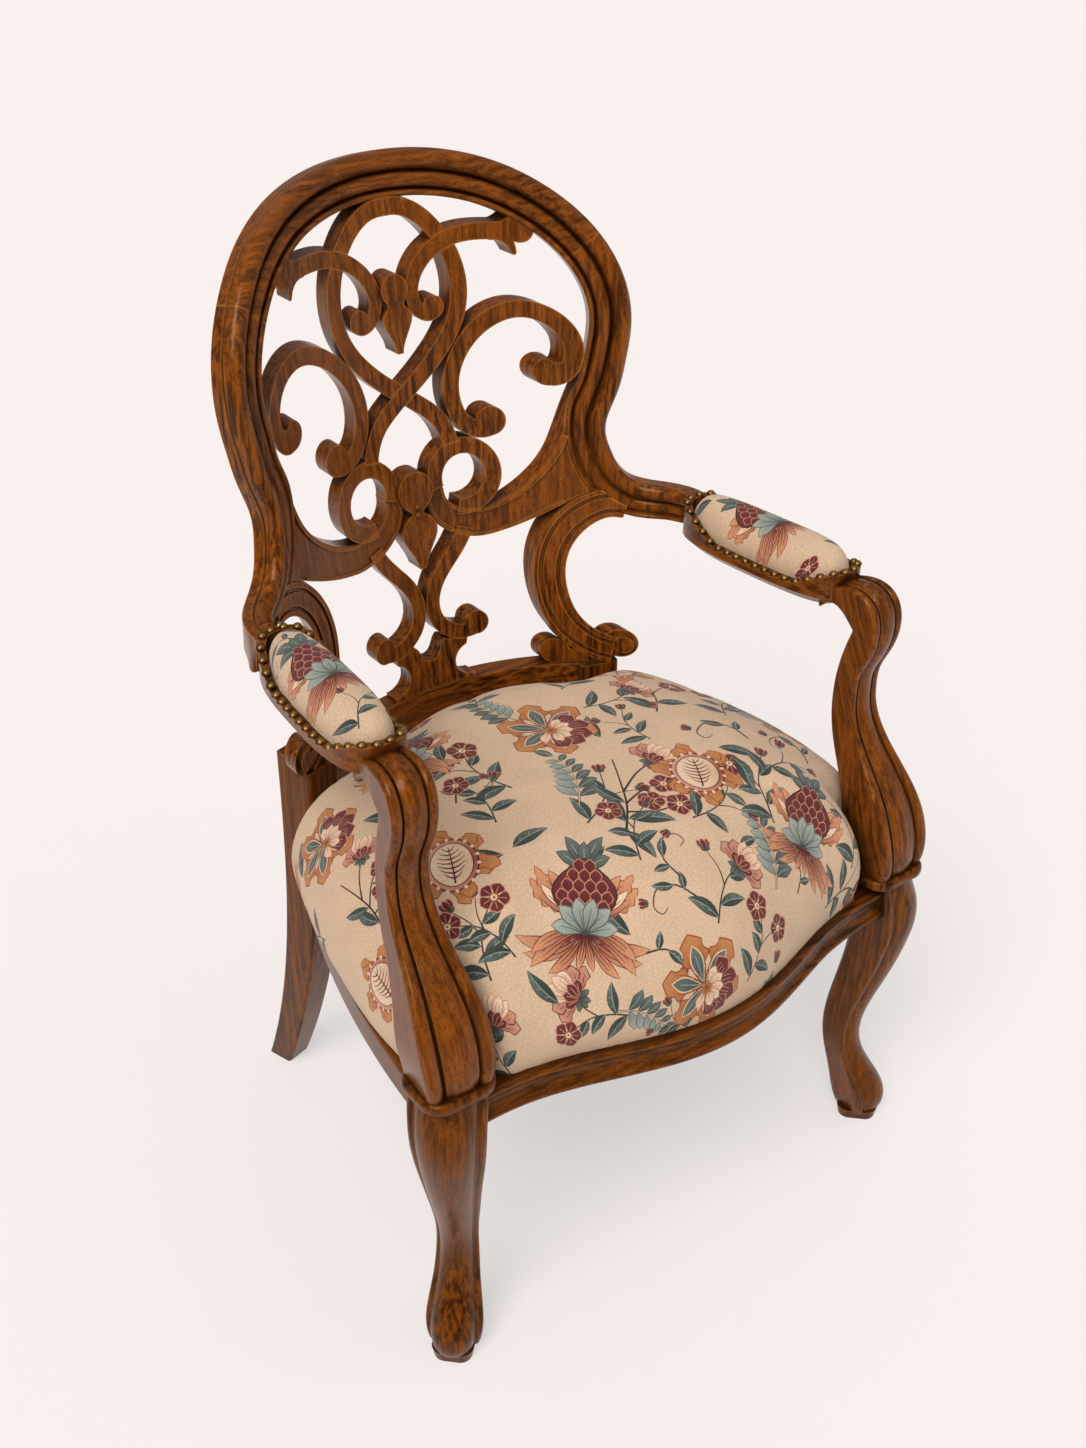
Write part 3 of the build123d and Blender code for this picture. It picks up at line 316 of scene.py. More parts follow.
def stuffed(node, voxel, hem, cap):
    """Skin of a soft solid, swelled by cloth simulation and held at its hem: points and faces."""
    body = bpy.data.objects.new(node + "_swell", nodes[node].data.copy())
    scene.collection.objects.link(body)
    remesh = body.modifiers.new("even_skin", "REMESH")
    remesh.mode = "VOXEL"
    remesh.voxel_size = voxel
    skin = bpy.data.meshes.new_from_object(body.evaluated_get(bpy.context.evaluated_depsgraph_get()))
    body.modifiers.clear()
    body.data = skin
    rest = np.empty(len(skin.vertices) * 3)
    skin.vertices.foreach_get("co", rest)
    rest = rest.reshape(-1, 3)
    points = rest
    held = body.vertex_groups.new(name="hem")
    held.add([int(i) for i in np.flatnonzero(rest[:, 2] < hem)], 1.0, "REPLACE")
    cloth = body.modifiers.new("cover", "CLOTH")
    cloth.settings.use_pressure = True
    cloth.settings.uniform_pressure_force = 4.0
    cloth.settings.effector_weights.gravity = 0.0
    cloth.settings.vertex_group_mass = "hem"
    cloth.settings.quality = 5
    cloth.point_cache.frame_start = 1
    cloth.point_cache.frame_end = SWELL_STEPS
    for step in range(1, SWELL_STEPS + 1):
        scene.frame_set(step)
    swelled = body.evaluated_get(bpy.context.evaluated_depsgraph_get())
    points = np.empty(len(swelled.data.vertices) * 3)
    swelled.data.vertices.foreach_get("co", points)
    points = points.reshape(-1, 3)
    move = points - rest
    reach = np.linalg.norm(move, axis=1, keepdims=True)
    points = rest + move * np.minimum(1.0, cap / np.maximum(reach, 1e-9))
    scene.frame_set(1)
    faces = [tuple(p.vertices) for p in skin.polygons]
    bpy.data.objects.remove(body)
    return points, faces


class Cover:
    """Flat cloth laid over a stuffed skin: distances on it run along the skin from the crown."""

    def __init__(self, points, faces, heart, hem):
        tree = BVHTree.FromPolygons([Vector(p) for p in points], faces)
        self.turns, self.rings = 240, 40
        self.path = np.zeros((self.turns, self.rings + 1, 3))
        for i in range(self.turns):
            a = 2 * pi * i / self.turns
            for j in range(self.rings):
                lift = pi / 2 * (1 - j / (self.rings - 1))
                ray = Vector((cos(a) * cos(lift), sin(a) * cos(lift), sin(lift)))
                hit = tree.ray_cast(Vector(heart), ray)[0]
                self.path[i, j] = hit
            self.path[i, -1] = self.path[i, -2]
            self.path[i, -1, 2] = hem
        # even out the facets of the skin
        for _ in range(3):
            inner = (np.roll(self.path, 1, 0) + np.roll(self.path, -1, 0)) / 2
            ahead = self.path[:, :-2] + self.path[:, 2:]
            self.path[:, 1:-1] = 0.5 * self.path[:, 1:-1] + 0.25 * inner[:, 1:-1] + 0.125 * ahead
        steps = np.linalg.norm(np.diff(self.path, axis=1), axis=2)
        self.run = np.concatenate([np.zeros((self.turns, 1)), np.cumsum(steps, 1)], 1)
        self.edge = self.run[:, -1]

    def reach(self, flat):
        """Distance from the crown to the hem, in the direction of each flat point."""
        share = (np.arctan2(flat[:, 1], flat[:, 0]) / (2 * pi)) % 1.0 * self.turns
        low = np.floor(share).astype(int)
        t = share - low
        return self.edge[low % self.turns] * (1 - t) + self.edge[(low + 1) % self.turns] * t

    def on_skin(self, flat):
        """Where flat points of the cloth lie on the skin."""
        share = (np.arctan2(flat[:, 1], flat[:, 0]) / (2 * pi)) % 1.0 * self.turns
        low = np.floor(share).astype(int)
        t = share - low
        far = np.linalg.norm(flat, axis=1) / np.maximum(self.reach(flat), 1e-9)
        out = np.zeros((len(flat), 3))
        for k, weight in ((low % self.turns, 1 - t), ((low + 1) % self.turns, t)):
            for i in np.unique(k):
                rows = np.flatnonzero(k == i)
                want = np.minimum(far[rows], 1.0) * self.edge[i]
                for axis in range(3):
                    out[rows, axis] += weight[rows] * np.interp(want, self.run[i], self.path[i, :, axis])
        return out


# Floral drawing: each shape is an outline in millimetres with a colour at its foot and at its tip

GROUND = "#D3B799"
PLUM = ("#4E181C", "#70302E")
ROSE = ("#8E463C", "#CB947B")
FLAME = ("#7A2A18", "#D69A72")
RUST = ("#6E3014", "#9C5228")
GOLD = ("#94491F", "#C08450")
CREAM = ("#D4AF8B", "#E6CDB0")
TEAL = ("#353F3A", "#65716A")
MIST = ("#6F7C75", "#A3ACA0")
INK = ("#2A1D19", "#3D2C26")
MOSS = ("#28322E", "#465149")


def turned(points, degrees, at=(0.0, 0.0), size=1.0):
    """Outline sized, turned and moved to its place."""
    a = radians(degrees)
    spin = np.array([[cos(a), sin(a)], [-sin(a), cos(a)]])
    return np.asarray(points, float) * size @ spin + np.asarray(at, float)


def placed(shapes, degrees, at=(0.0, 0.0), size=1.0):
    """Whole drawing sized, turned and moved to its place."""
    return [(turned(outline, degrees, at, size), colour) for outline, colour in shapes]


def midline(length, bend, count):
    """Line standing on the origin and bending over its length, with the direction to its right."""
    heading = radians(bend) * np.linspace(0, 1, count)
    step = np.stack([np.sin(heading), np.cos(heading)], 1) * length / (count - 1)
    points = np.concatenate([[(0.0, 0.0)], np.cumsum(step[:-1], 0)])
    return points, np.stack([np.cos(heading), -np.sin(heading)], 1)


def petal(length, width, bend=0.0, belly=0.6, lobes=0):
    """Pointed oval on a bent midline, with a wavy edge if asked."""
    count = 3 * lobes + 4 if lobes else 9
    points, right = midline(length, bend, count)
    t = np.linspace(0, 1, count)
    half = width / 2 * np.sin(pi * t ** (log(0.5) / log(belly)))
    if lobes:
        half = half * (1 + 0.24 * np.cos(2 * pi * lobes * t + 2.4))
    out = right * half[:, None]
    return np.concatenate([points + out, (points - out)[-2:0:-1]])


def strand(points, width, tail=0.4):
    """Thin tapering line along a smooth path."""
    points = np.asarray(points, float)
    t = np.linspace(0, len(points) - 1, 4 * (len(points) - 1) + 1)
    low = np.minimum(t.astype(int), len(points) - 2)
    f = (t - low)[:, None]
    before, after = points[np.maximum(low - 1, 0)], points[np.minimum(low + 2, len(points) - 1)]
    p, q = points[low], points[low + 1]
    bow = (2 * before - 5 * p + 4 * q - after) * f ** 2 + (3 * p - before - 3 * q + after) * f ** 3
    line = 0.5 * (2 * p + (q - before) * f + bow)
    along = np.gradient(line, axis=0)
    along /= np.maximum(np.linalg.norm(along, axis=1, keepdims=True), 1e-9)
    side = np.stack([-along[:, 1], along[:, 0]], 1) * (width / 2 * np.linspace(1, tail, len(line)))[:, None]
    return np.concatenate([line + side, (line - side)[::-1]])


def plume(turn, at, length, width, bend=0.0, fill=FLAME, rim=PLUM, line=None, belly=0.6, lobes=0,
          margin=1.0, streaks=(0,)):
    """One petal: rim, lighter middle and veins drawn from its foot."""
    shapes = [(petal(length, width, bend, belly, lobes), rim)]
    inner = petal(length - 1.8 * margin, width - 2 * margin, bend, belly, lobes)
    shapes.append((inner + np.array([0.0, 0.9 * margin]), fill))
    points, right = midline(length, bend, 9)
    for share in streaks if line else ():
        spots = [points[k] + right[k] * share * width / 2 * sin(pi * k / 9) for k in (0, 2, 4, 6)]
        shapes.append((strand(spots, 1.5, 0.3), line))
    return placed(shapes, turn, at)


def oval(wide, high):
    """Oval round the origin."""
    a = np.linspace(0, 2 * pi, 25)[:-1]
    return np.stack([np.cos(a) * wide / 2, np.sin(a) * high / 2], 1)


def artichoke():
    """Tall flower: leaves on top, scaled body, pale bracts, feathered sides and drooping petals."""
    shapes = []
    for turn, length, bend in ((36, 30, -40), (-34, 28, 44), (14, 38, -24), (-12, 40, 26), (0, 30, 0)):
        shapes += plume(turn, (0, 26), length, 12, bend, TEAL, MOSS, MIST)
    skirt = ((172, 34, 8, 10), (156, 50, 10, 40), (140, 60, 12, 62), (124, 62, 12, 56),
             (110, 58, 12, -34), (96, 52, 11, -44))
    for side in (-1, 1):
        for turn, length, width, bend in skirt:
            shapes += plume(side * turn, (0, -22), length, width, side * bend, FLAME, PLUM, PLUM,
                            0.66, 0, 0.8, (-0.3, 0.3))
        for turn, length, width, bend in ((74, 56, 15, 40), (58, 60, 14, 30)):
            shapes += plume(side * turn, (0, -14), length, width, side * bend, FLAME, RUST, PLUM,
                            0.66, 6, 1.0, (-0.5, 0.5))
        shapes += plume(side * 70, (0, -12), 46, 9, side * 36, CREAM, PLUM, RUST, 0.66, 0, 0.8, (-0.4, 0.4))
        shapes += plume(side * 44, (0, -10), 48, 11, side * 10, FLAME, PLUM, PLUM, 0.66, 0, 0.8, (-0.3, 0.3))
    shapes.append((petal(64, 56, 0, 0.5) + np.array([0, -24]), INK))
    shapes.append((petal(61, 53, 0, 0.5) + np.array([0, -22.5]), PLUM))
    for y, count, spread in ((25, 2, 8), (16, 3, 17), (7, 4, 26), (-2, 5, 34), (-10, 4, 28)):
        for k in range(count):
            x = (k / (count - 1) - 0.5) * spread
            shapes += plume(-0.8 * x, (x, y), 14, 11, 0, PLUM, ROSE, None, 0.56, 0, 0.9)
    bracts = ((66, 30, -30), (-64, 30, 30), (38, 32, -16), (-37, 32, 16), (14, 31, 0), (-14, 31, 0))
    for turn, length, bend in bracts:
        shapes += plume(turn, (0, -26), length, 14, bend, MIST, TEAL, TEAL, 0.62, 0, 1.1)
    return shapes


def passion():
    """Wide flower: gold lobed petals lined with teal ones over a ruffle of dark petals."""
    shapes = []
    for k in range(6):
        shapes += plume(60 * k - 90, (0, 0), 47, 28, 12, GOLD, RUST, RUST, 0.66, 3, 1.5, (-0.6, 0.6))
        shapes += plume(60 * k - 90, (0, 0), 37, 14, 10, TEAL, CREAM, MIST, 0.62, 0, 1.2)
    for turn, length, bend in ((-28, 34, 20), (-62, 38, 20), (-96, 39, 0), (-128, 36, -18), (-160, 31, -24)):
        shapes += plume(turn, (4, -4), length, 19, bend, PLUM, ROSE, ROSE, 0.68, 2, 1.1, (-0.4, 0, 0.4))
    for turn in (-20, -52, -84, -116, -148, 160):
        shapes += plume(turn, (3, -3), 21, 11, 0, CREAM, ROSE, ROSE, 0.66, 0, 0.9)
    for k in range(6):
        shapes += plume(60 * k, (3, -3), 7, 5, 0, GOLD, RUST, None, 0.6, 0, 0.7)
    return shapes


def sunflower():
    """Round flower with ragged gold petals and a feathered oval heart."""
    shapes = []
    for k in range(12):
        bend = 34 if k % 2 else -26
        shapes += plume(30 * k, (0, 0), 40 + 5 * (k % 3 == 0), 18, bend, GOLD, RUST, RUST, 0.7, 3, 1.2)
    shapes += [(oval(50, 57), PLUM), (oval(47, 54), ROSE), (oval(40, 47), PLUM), (oval(38, 45), CREAM)]
    for k in range(18):
        a = 20 * k
        spot = (21.5 * cos(radians(a + 90)), 25 * sin(radians(a + 90)))
        shapes.append((turned(petal(5, 3.6), a, spot), CREAM))
    for side in (-1, 1):
        for k in range(7):
            y = -15 + 4.8 * k
            reach = 13 - 0.22 * (y + 2) ** 2 / 8
            barb = [(0, y), (side * reach * 0.55, y + 2), (side * reach, y + 6)]
            shapes.append((strand(barb, 1.7, 0.3), PLUM))
    shapes.append((strand([(0, -20), (0.6, 0), (0, 19)], 1.8), PLUM))
    return shapes


def blossom():
    """Small five-petalled flower."""
    shapes = []
    for k in range(5):
        shapes += plume(72 * k, (0, 0), 14, 13, 0, PLUM, ROSE, ROSE, 0.68, 0, 1.0)
    return shapes + [(oval(8, 8), RUST), (oval(6, 6), CREAM), (oval(2, 2), RUST)]


def peony():
    """Half-open bloom seen from the side."""
    shapes = []
    for turn, bend in ((70, -20), (-68, 20), (46, -10), (-44, 10)):
        shapes += plume(turn, (0, -8), 27, 14, bend, ROSE, PLUM, PLUM, 0.66, 2, 1.0, (-0.3, 0.3))
    for turn in (24, -22, 8, -7):
        shapes += plume(turn, (0, -9), 30, 12, 0, CREAM, ROSE, ROSE, 0.68, 0, 1.1, (-0.3, 0.3))
    for turn in (52, -50, 18, -16):
        shapes += plume(turn, (0, -10), 17, 10, 0, PLUM, ROSE, ROSE, 0.64)
    for turn in (120, -118, 165, -165):
        shapes += plume(turn, (0, -8), 12, 6, 0, TEAL, MOSS)
    return shapes


def bud():
    """Closed flower in two green sepals."""
    shapes = []
    for turn in (24, -24, 0):
        shapes += plume(turn, (0, 1), 13, 7, 0, PLUM, ROSE)
    return shapes + plume(38, (0, 0), 7, 4, 0, TEAL, MOSS) + plume(-38, (0, 0), 7, 4, 0, TEAL, MOSS)


def leaf(length=38, width=13, bend=30.0):
    """Pointed leaf, one half in shade, with a pale midrib."""
    whole = petal(length, width, bend, 0.46)
    points, _ = midline(length, bend, 9)
    half = np.concatenate([whole[:9], points[::-1]])
    rib = strand(points[[0, 3, 6, 8]], 1.3, 0.2)
    shapes = [(whole, MOSS), (turned(whole, 0, (0, 0.6), 0.95), TEAL), (half, MOSS), (rib, MIST)]
    for k in (2, 4, 6):
        side = strand([points[k], points[k] + np.array([-0.22 * width, 0.1 * length])], 0.9, 0.3)
        shapes.append((side, MIST))
    return shapes


def frond(bend=1.0):
    """Long leaf cut into curling lobes."""
    points, _ = midline(96, 56 * bend, 9)
    shapes = [(strand(points[::2], 2.6, 0.3), MOSS)]
    for k in range(1, 7):
        turn = -56 * bend * k / 8
        for side in (-1, 1):
            fill = TEAL if side * bend > 0 else MIST
            lobe = (32 - 2.6 * k, 15 - 1.1 * k, -40 * side)
            shapes += plume(turn + 40 * side, points[k], *lobe, fill, MOSS, MIST, 0.56, 0, 0.8)
    shapes += plume(-56 * bend, points[7], 24, 11, 24 * bend, TEAL, MOSS, MIST, 0.5)
    return shapes + [(strand(points[::2], 1.2, 0.3), CREAM)]


def twig(bend=1.0, ends=(bud, blossom), leaves=3):
    """Thin forked stem with leaves at its foot and a small flower on each fork."""
    line = np.array([(0, 0), (3 * bend, 24), (12 * bend, 46), (30 * bend, 64)], float)
    fork = np.array([(7 * bend, 36), (2 * bend, 52), (-8 * bend, 66)], float)
    shapes = [(strand(line, 1.9, 0.6), MOSS), (strand(fork, 1.5, 0.6), MOSS)]
    for k in range(leaves):
        side = 1 if k % 2 else -1
        foot = line[0] + (line[1] - line[0]) * (0.2 + 0.5 * k)
        shapes += placed(leaf(36 - 5 * k, 13 - k, 34 * side), -52 * side, foot)
    shapes += placed(leaf(22, 10, -20 * bend), -80 * bend, line[2])
    shapes += placed(ends[0](), 18 * bend, fork[-1], 1.05)
    return shapes + placed(ends[1](), -42 * bend, line[-1], 1.05)


def bouquet():
    """Branching stem with a bloom, a cluster of small flowers and leaves at its foot."""
    stems = (
        [(0, -62), (2, -30), (-2, 0), (-8, 30)], [(1, -28), (18, -6), (34, 2)],
        [(0, -12), (12, 14), (28, 34)], [(1, -38), (26, -34), (46, -22)], [(18, -8), (36, -16), (58, -2)],
    )
    shapes = [(strand(stem, 2.1, 0.6), INK) for stem in stems]
    leaves = ((30, (0, -50), 1.0), (-70, (2, -46), 1.1), (64, (1, -26), 0.9), (-120, (0, -60), 0.9))
    for turn, at, size in leaves:
        shapes += placed(leaf(), turn, at, size)
    for at in ((34, 2), (46, -22), (60, -2), (22, -22)):
        shapes += placed(blossom(), 9 * at[0], at, 0.92)
    return shapes + placed(peony(), -30, (30, 38), 0.95)


def tendril(bend=1.0):
    """Curling stem with two small leaves and a bud."""
    line = [(0, 0), (10 * bend, 16), (26 * bend, 22), (38 * bend, 12), (35 * bend, 3), (28 * bend, 5)]
    shapes = [(strand(line, 1.7, 0.5), MOSS)] + placed(leaf(20, 8, 20), -70 * bend, (12 * bend, 17))
    shapes += placed(leaf(16, 7, -20), 30 * bend, (6 * bend, 10))
    return shapes + placed(bud(), 60, (40 * bend, 16), 0.7)


def cloth_mesh(name, cover, plan, ground_pitch):
    """Mesh of the cloth with the drawing cut into it, so that each colour ends on a real edge."""
    shapes = []
    for drawing, x, y, turn, size in plan:
        for outline, colour in drawing:
            shapes.append((turned(outline, turn, (x, y), size) * MM, colour))
    reach = cover.edge.max()
    rim = []
    for i in range(cover.turns):
        a = 2 * pi * i / cover.turns
        rim.append((cover.edge[i] * cos(a), cover.edge[i] * sin(a)))
    flats, edges = [], []
    for outline in [np.array(rim)] + [s[0] for s in shapes]:
        first = len(flats)
        flats += [tuple(p) for p in outline]
        edges += [(first + k, first + (k + 1) % len(outline)) for k in range(len(outline))]
    rows = int(reach / ground_pitch) + 1
    for j in range(-rows, rows + 1):
        for i in range(-rows, rows + 1):
            p = ((i + 0.5 * (j % 2)) * ground_pitch, j * ground_pitch * 0.866)
            flats.append(p)
    flats = np.array(flats)
    made = delaunay_2d_cdt([Vector(p) for p in flats], edges, [], 0, 1e-6)
    flat = np.array([tuple(v) for v in made[0]])
    faces = np.array([tuple(f) for f in made[2] if len(f) == 3])
    middle = flat[faces].mean(1)
    inside = np.linalg.norm(middle, axis=1) < cover.reach(middle) * 0.9999
    faces, middle = faces[inside], middle[inside]
    owner = np.full(len(faces), -1)
    for k, (outline, _) in enumerate(shapes):
        low, high = outline.min(0), outline.max(0)
        near = np.flatnonzero(((middle > low) & (middle < high)).all(1))
        if not len(near):
            continue
        p = middle[near]
        a, b = outline, np.roll(outline, -1, 0)
        crosses = (a[None, :, 1] > p[:, None, 1]) != (b[None, :, 1] > p[:, None, 1])
        rise = np.where(b[:, 1] == a[:, 1], 1e-12, b[:, 1] - a[:, 1])
        cut = (b[:, 0] - a[:, 0])[None] * (p[:, None, 1] - a[None, :, 1]) / rise[None] + a[None, :, 0]
        owner[near[(np.sum(crosses & (p[:, None, 0] < cut), 1) % 2) == 1]] = k
    used = np.unique(faces)
    index = np.full(len(flat), -1)
    index[used] = np.arange(len(used))
    faces, flat = index[faces], flat[used]
    mesh = bpy.data.meshes.new(name)
    mesh.from_pydata([tuple(p) for p in cover.on_skin(flat)], [], [tuple(f) for f in faces])
    colours = np.tile(np.array(rgb(GROUND)), (len(faces) * 3, 1))
    corner = flat[faces].reshape(-1, 2)
    owners = np.repeat(owner, 3)
    for k in np.unique(owner[owner >= 0]):
        outline, (foot, tip) = shapes[k]
        rows = np.flatnonzero(owners == k)
        base = outline[0]
        span = np.linalg.norm(outline - base, axis=1).max()
        t = np.clip(np.linalg.norm(corner[rows] - base, axis=1) / span, 0, 1)[:, None]
        colours[rows] = np.array(rgb(foot)) * (1 - t) + np.array(rgb(tip)) * t
    yarn = mesh.color_attributes.new("yarn", "FLOAT_COLOR", "CORNER")
    yarn.data.foreach_set("color", colours.ravel())
    laid = mesh.uv_layers.new(name="cloth")
    laid.data.foreach_set("uv", corner.ravel())
    mesh.polygons.foreach_set("use_smooth", np.ones(len(faces), bool))
    mesh.update()
    piece = bpy.data.objects.new(name, mesh)
    scene.collection.objects.link(piece)
    return piece


def finish_soft(piece, node, cloth):
    """Cover takes the place of its solid."""
    piece.data.materials.append(cloth)
    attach(piece, "root")
    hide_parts(node)


UP = -36.0                  # the flowers stand towards the back right corner of the seat


def seat_plan():
    """Flowers of the seat: drawing, place from the crown in mm, turn and size."""
    small = [
        (twig(1, (bud, blossom), 3), -92, -14, UP + 62, 1.2),
        (twig(-1, (bud, bud), 2), -62, -96, UP - 36, 1.1), (tendril(1), 48, -206, UP + 30, 1.4),
        (twig(1, (bud, peony), 2), -4, -246, UP + 6, 1.1), (frond(-1), 92, -236, UP + 6, 1.1),
        (twig(-1, (peony, blossom), 3), -134, -282, UP + 82, 1.1), (frond(1), -146, -268, UP - 84, 0.95),
        (leaf(), -196, -226, UP + 60, 1.1), (twig(1, (bud, blossom), 3), 196, -262, UP - 20, 1.2),
        (twig(-1, (blossom, bud), 3), 116, 14, UP - 10, 1.2), (frond(1), -12, 84, UP + 66, 0.9),
        (frond(-1), -52, -70, UP - 4, 1.0), (tendril(-1), 176, -66, UP + 20, 1.4),
        (bouquet(), 6, -66, UP, 1.2), (twig(1, (bud, bud), 3), -108, 52, UP + 76, 1.1),
        (frond(1), 200, 8, UP - 70, 1.1), (twig(-1, (bud, bud), 2), 36, -140, UP - 60, 1.0),
        (tendril(-1), -14, -214, UP + 40, 1.2), (twig(1, (blossom, bud), 3), 132, -170, UP + 36, 1.15),
        (leaf(), -154, -86, UP + 96, 1.2), (leaf(), -142, -84, UP - 36, 1.2),
        (leaf(), 130, -68, UP - 84, 1.2), (leaf(), 132, -86, UP - 136, 1.3),
        (bud(), 84, -312, UP + 30, 1.2), (bud(), 18, -392, UP, 1.2),
        (twig(-1, (bud, peony), 2), 58, 66, UP - 76, 1.0), (tendril(1), -148, 2, UP + 30, 1.2),
        (twig(1, (bud, bud), 3), 64, 112, UP - 20, 1.0), (twig(1, (bud, blossom), 2), -206, 30, UP, 1.1),
        (tendril(-1), 232, -110, UP, 1.2), (leaf(), -66, -128, UP + 140, 1.2),
        (leaf(), 36, 8, UP + 30, 1.2), (leaf(), -96, -214, UP + 60, 1.2),
        (twig(-1, (blossom, bud), 2), 240, -226, UP + 30, 1.0), (bouquet(), -280, 0, UP + 30, 1.0),
        (frond(-1), -238, 178, UP + 60, 1.0), (twig(-1, (bud, blossom), 2), -30, 136, UP, 1.0),
        (tendril(1), 66, 160, UP - 20, 1.2), (bouquet(), 264, 74, UP - 40, 0.9),
        (frond(1), 290, -160, UP - 20, 0.9), (twig(1, (bud, blossom), 3), -240, -176, UP + 20, 1.1),
        (frond(1), -196, -360, UP - 40, 0.9), (twig(), 166, -360, UP - 40, 1.0),
        (blossom(), 118, 194, UP, 1.2), (blossom(), -76, 190, UP, 1.2),
        (twig(-1), -350, 40, UP + 40, 1.1), (frond(1), -184, 96, UP + 30, 0.8),
        (leaf(), -306, 120, UP, 1.2), (twig(1, (blossom, bud), 3), -44, -158, UP + 20, 1.0),
        (twig(-1, (bud, blossom), 3), -206, -172, UP + 40, 1.0),
        (twig(1, (bud, peony), 3), -296, -262, UP + 30, 1.0), (tendril(1), -92, -236, UP - 40, 1.2),
        (twig(-1, (blossom, blossom), 3), 26, -318, UP - 10, 1.1),
        (twig(1, (bud, bud), 2), 150, -118, UP - 30, 1.0),
        (twig(1, (blossom, bud), 3), 188, -18, UP + 10, 1.0),
        (twig(-1, (bud, blossom), 3), -134, -46, UP + 10, 1.0), (tendril(1), -18, -190, UP + 80, 1.2),
        (twig(1, (bud, bud), 3), 76, -24, UP + 50, 0.9),
        (twig(-1, (bud, bud), 3), -60, -350, UP + 70, 0.9), (tendril(-1), 130, -244, UP - 30, 1.2),
    ]
    big = [
        (artichoke(), -118, -166, UP, 1.16), (passion(), -40, -296, UP + 14, 1.18),
        (artichoke(), 176, -178, UP, 1.05), (sunflower(), 84, -90, UP + 10, 1.12),
        (sunflower(), -198, -62, UP + 10, 1.08), (passion(), 2, 54, UP, 1.14),
        (artichoke(), -132, 116, UP, 1.0), (passion(), -264, 98, UP + 30, 1.05),
        (sunflower(), 152, 126, UP, 1.0), (passion(), 268, -40, UP - 10, 1.0),
        (artichoke(), 74, -378, UP + 10, 0.95), (sunflower(), -326, -96, UP + 30, 1.0),
        (artichoke(), -356, 174, UP + 60, 0.95),
    ]
    return small + big


def pad_plan(side):
    """One tall flower on each arm pad with sprigs at its ends; its foot points to the front."""
    return [
        (tendril(side), 4, 62, 10, 0.8), (twig(-side, (bud, bud), 2), 22 * side, -92, -20, 0.7),
        (artichoke(), 0, 10, 0, 1.0), (blossom(), -20 * side, -84, 0, 0.7), (leaf(), -16 * side, 74, 40, 0.7),
    ]


def dress_cushions():
    """Seat and arm pads, stuffed and covered."""
    cloth = tapestry("woven_tapestry")
    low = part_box("seat_upholstery")[0]
    points, faces = stuffed("seat_upholstery", 0.006, low[2] + 0.014, 0.012)
    heart = (0.0, -0.055, low[2] + 0.004)
    seat = cloth_mesh("seat_cover", Cover(points, faces, heart, low[2]), seat_plan(), 0.007)
    finish_soft(seat, "seat_upholstery", cloth)
    for side, word in ((1, "right"), (-1, "left")):
        node = "arm_pad_" + word
        low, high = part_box(node)
        points, faces = stuffed(node, 0.004, low[2] + 0.006, 0.004)
        heart = ((low[0] + high[0]) / 2, (low[1] + high[1]) / 2, low[2] + 0.003)
        pad = cloth_mesh("arm_cover_" + word, Cover(points, faces, heart, low[2]), pad_plan(side), 0.004)
        finish_soft(pad, node, cloth)


# Studio

WINDOW = (-0.55, -0.35, 0.76)
SUNS = (                    # name, turn, strength and spread in degrees
    ("key", (38, 0, -62), 0.25, 30), ("fill", (52, 0, 40), 0.4, 70), ("top", (12, 0, 150), 0.35, 60),
)


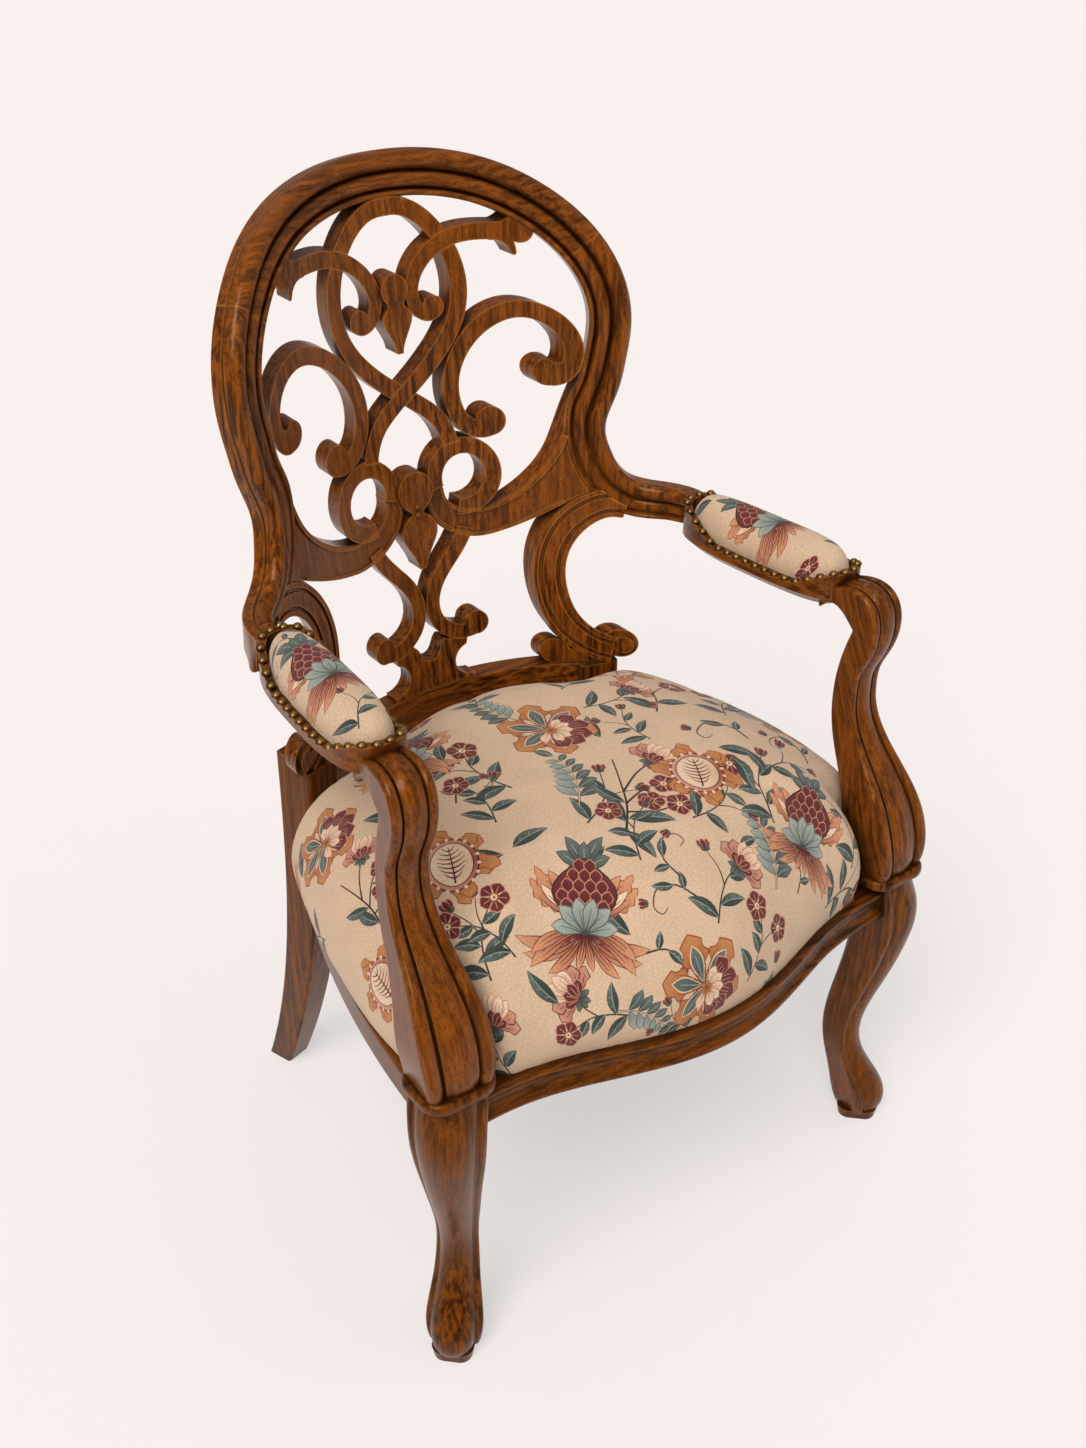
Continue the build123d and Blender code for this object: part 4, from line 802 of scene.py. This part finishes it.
def studio():
    """Pale seamless floor, soft suns and an even pale surround."""
    mesh = bpy.data.meshes.new("floor")
    mesh.from_pydata([(-14, -14, 0), (14, -14, 0), (14, 14, 0), (-14, 14, 0)], [], [(0, 1, 2, 3)])
    floor = bpy.data.objects.new("floor", mesh)
    scene.collection.objects.link(floor)
    made, tree, shader = start_material("painted_floor")
    place = add(tree, "ShaderNodeTexCoord").outputs["Object"]
    tint = add(tree, "ShaderNodeTexNoise", {"Vector": place, "Scale": 1.5, "Detail": 2.0}).outputs["Fac"]
    dark, light = rgb("#A59F9D"), rgb("#A9A3A0")
    paint = add(tree, "ShaderNodeMix", {0: tint, 6: dark, 7: light}, data_type="RGBA").outputs[2]
    tree.links.new(paint, shader.inputs["Base Color"])
    shader.inputs["Roughness"].default_value = 0.9
    shader.inputs["Specular IOR Level"].default_value = 0.1
    # painted light: the floor glows as well as reflecting, which keeps the shadow on it light and lights the
    # frame from below
    shader.inputs["Emission Color"].default_value = rgb("#F0EDEC")
    shader.inputs["Emission Strength"].default_value = 0.60
    mesh.materials.append(made)
    world = bpy.data.worlds.new("studio")
    scene.world = world
    world.use_nodes = True
    tree = world.node_tree
    back = tree.nodes["Background"]
    rays = add(tree, "ShaderNodeLightPath")
    straight, through = rays.outputs["Is Camera Ray"], rays.outputs["Is Transmission Ray"]
    seen = add(tree, "ShaderNodeMath", {0: straight, 1: through}, operation="MAXIMUM")
    # large soft window up to the front left, over a dimmer room
    way = add(tree, "ShaderNodeTexCoord").outputs["Generated"]
    facing = add(tree, "ShaderNodeVectorMath", {0: way, 1: WINDOW}, operation="DOT_PRODUCT").outputs["Value"]
    window = add(tree, "ShaderNodeMapRange", {0: facing, 1: 0.925, 2: 0.965, 3: 0.26, 4: 8.2}).outputs[0]
    level = add(tree, "ShaderNodeMix", {0: seen.outputs[0], 2: window, 3: 1.0}).outputs[0]
    tree.links.new(level, back.inputs["Strength"])
    back.inputs["Color"].default_value = rgb("#F6EEEA")
    for name, turn, strength, spread in SUNS:
        lamp = bpy.data.lights.new(name, "SUN")
        lamp.energy = strength
        lamp.angle = radians(spread)
        holder = bpy.data.objects.new(name, lamp)
        holder.rotation_euler = [radians(a) for a in turn]
        scene.collection.objects.link(holder)


def camera():
    """View of the photograph: from the front left, looking down on the seat."""
    lens = bpy.data.cameras.new("camera")
    lens.sensor_fit = "HORIZONTAL"
    lens.sensor_width = 36.0
    lens.lens = 56.84
    lens.clip_end = 60.0
    holder = bpy.data.objects.new("camera", lens)
    holder.location = (-0.9078, -1.2093, 1.4419)
    holder.rotation_euler = Euler((radians(58.541), radians(-0.303), radians(-36.619)))
    scene.collection.objects.link(holder)
    scene.camera = holder


scene.view_settings.view_transform = "Standard"
dress_frame()
dress_cushions()
studio()
camera()
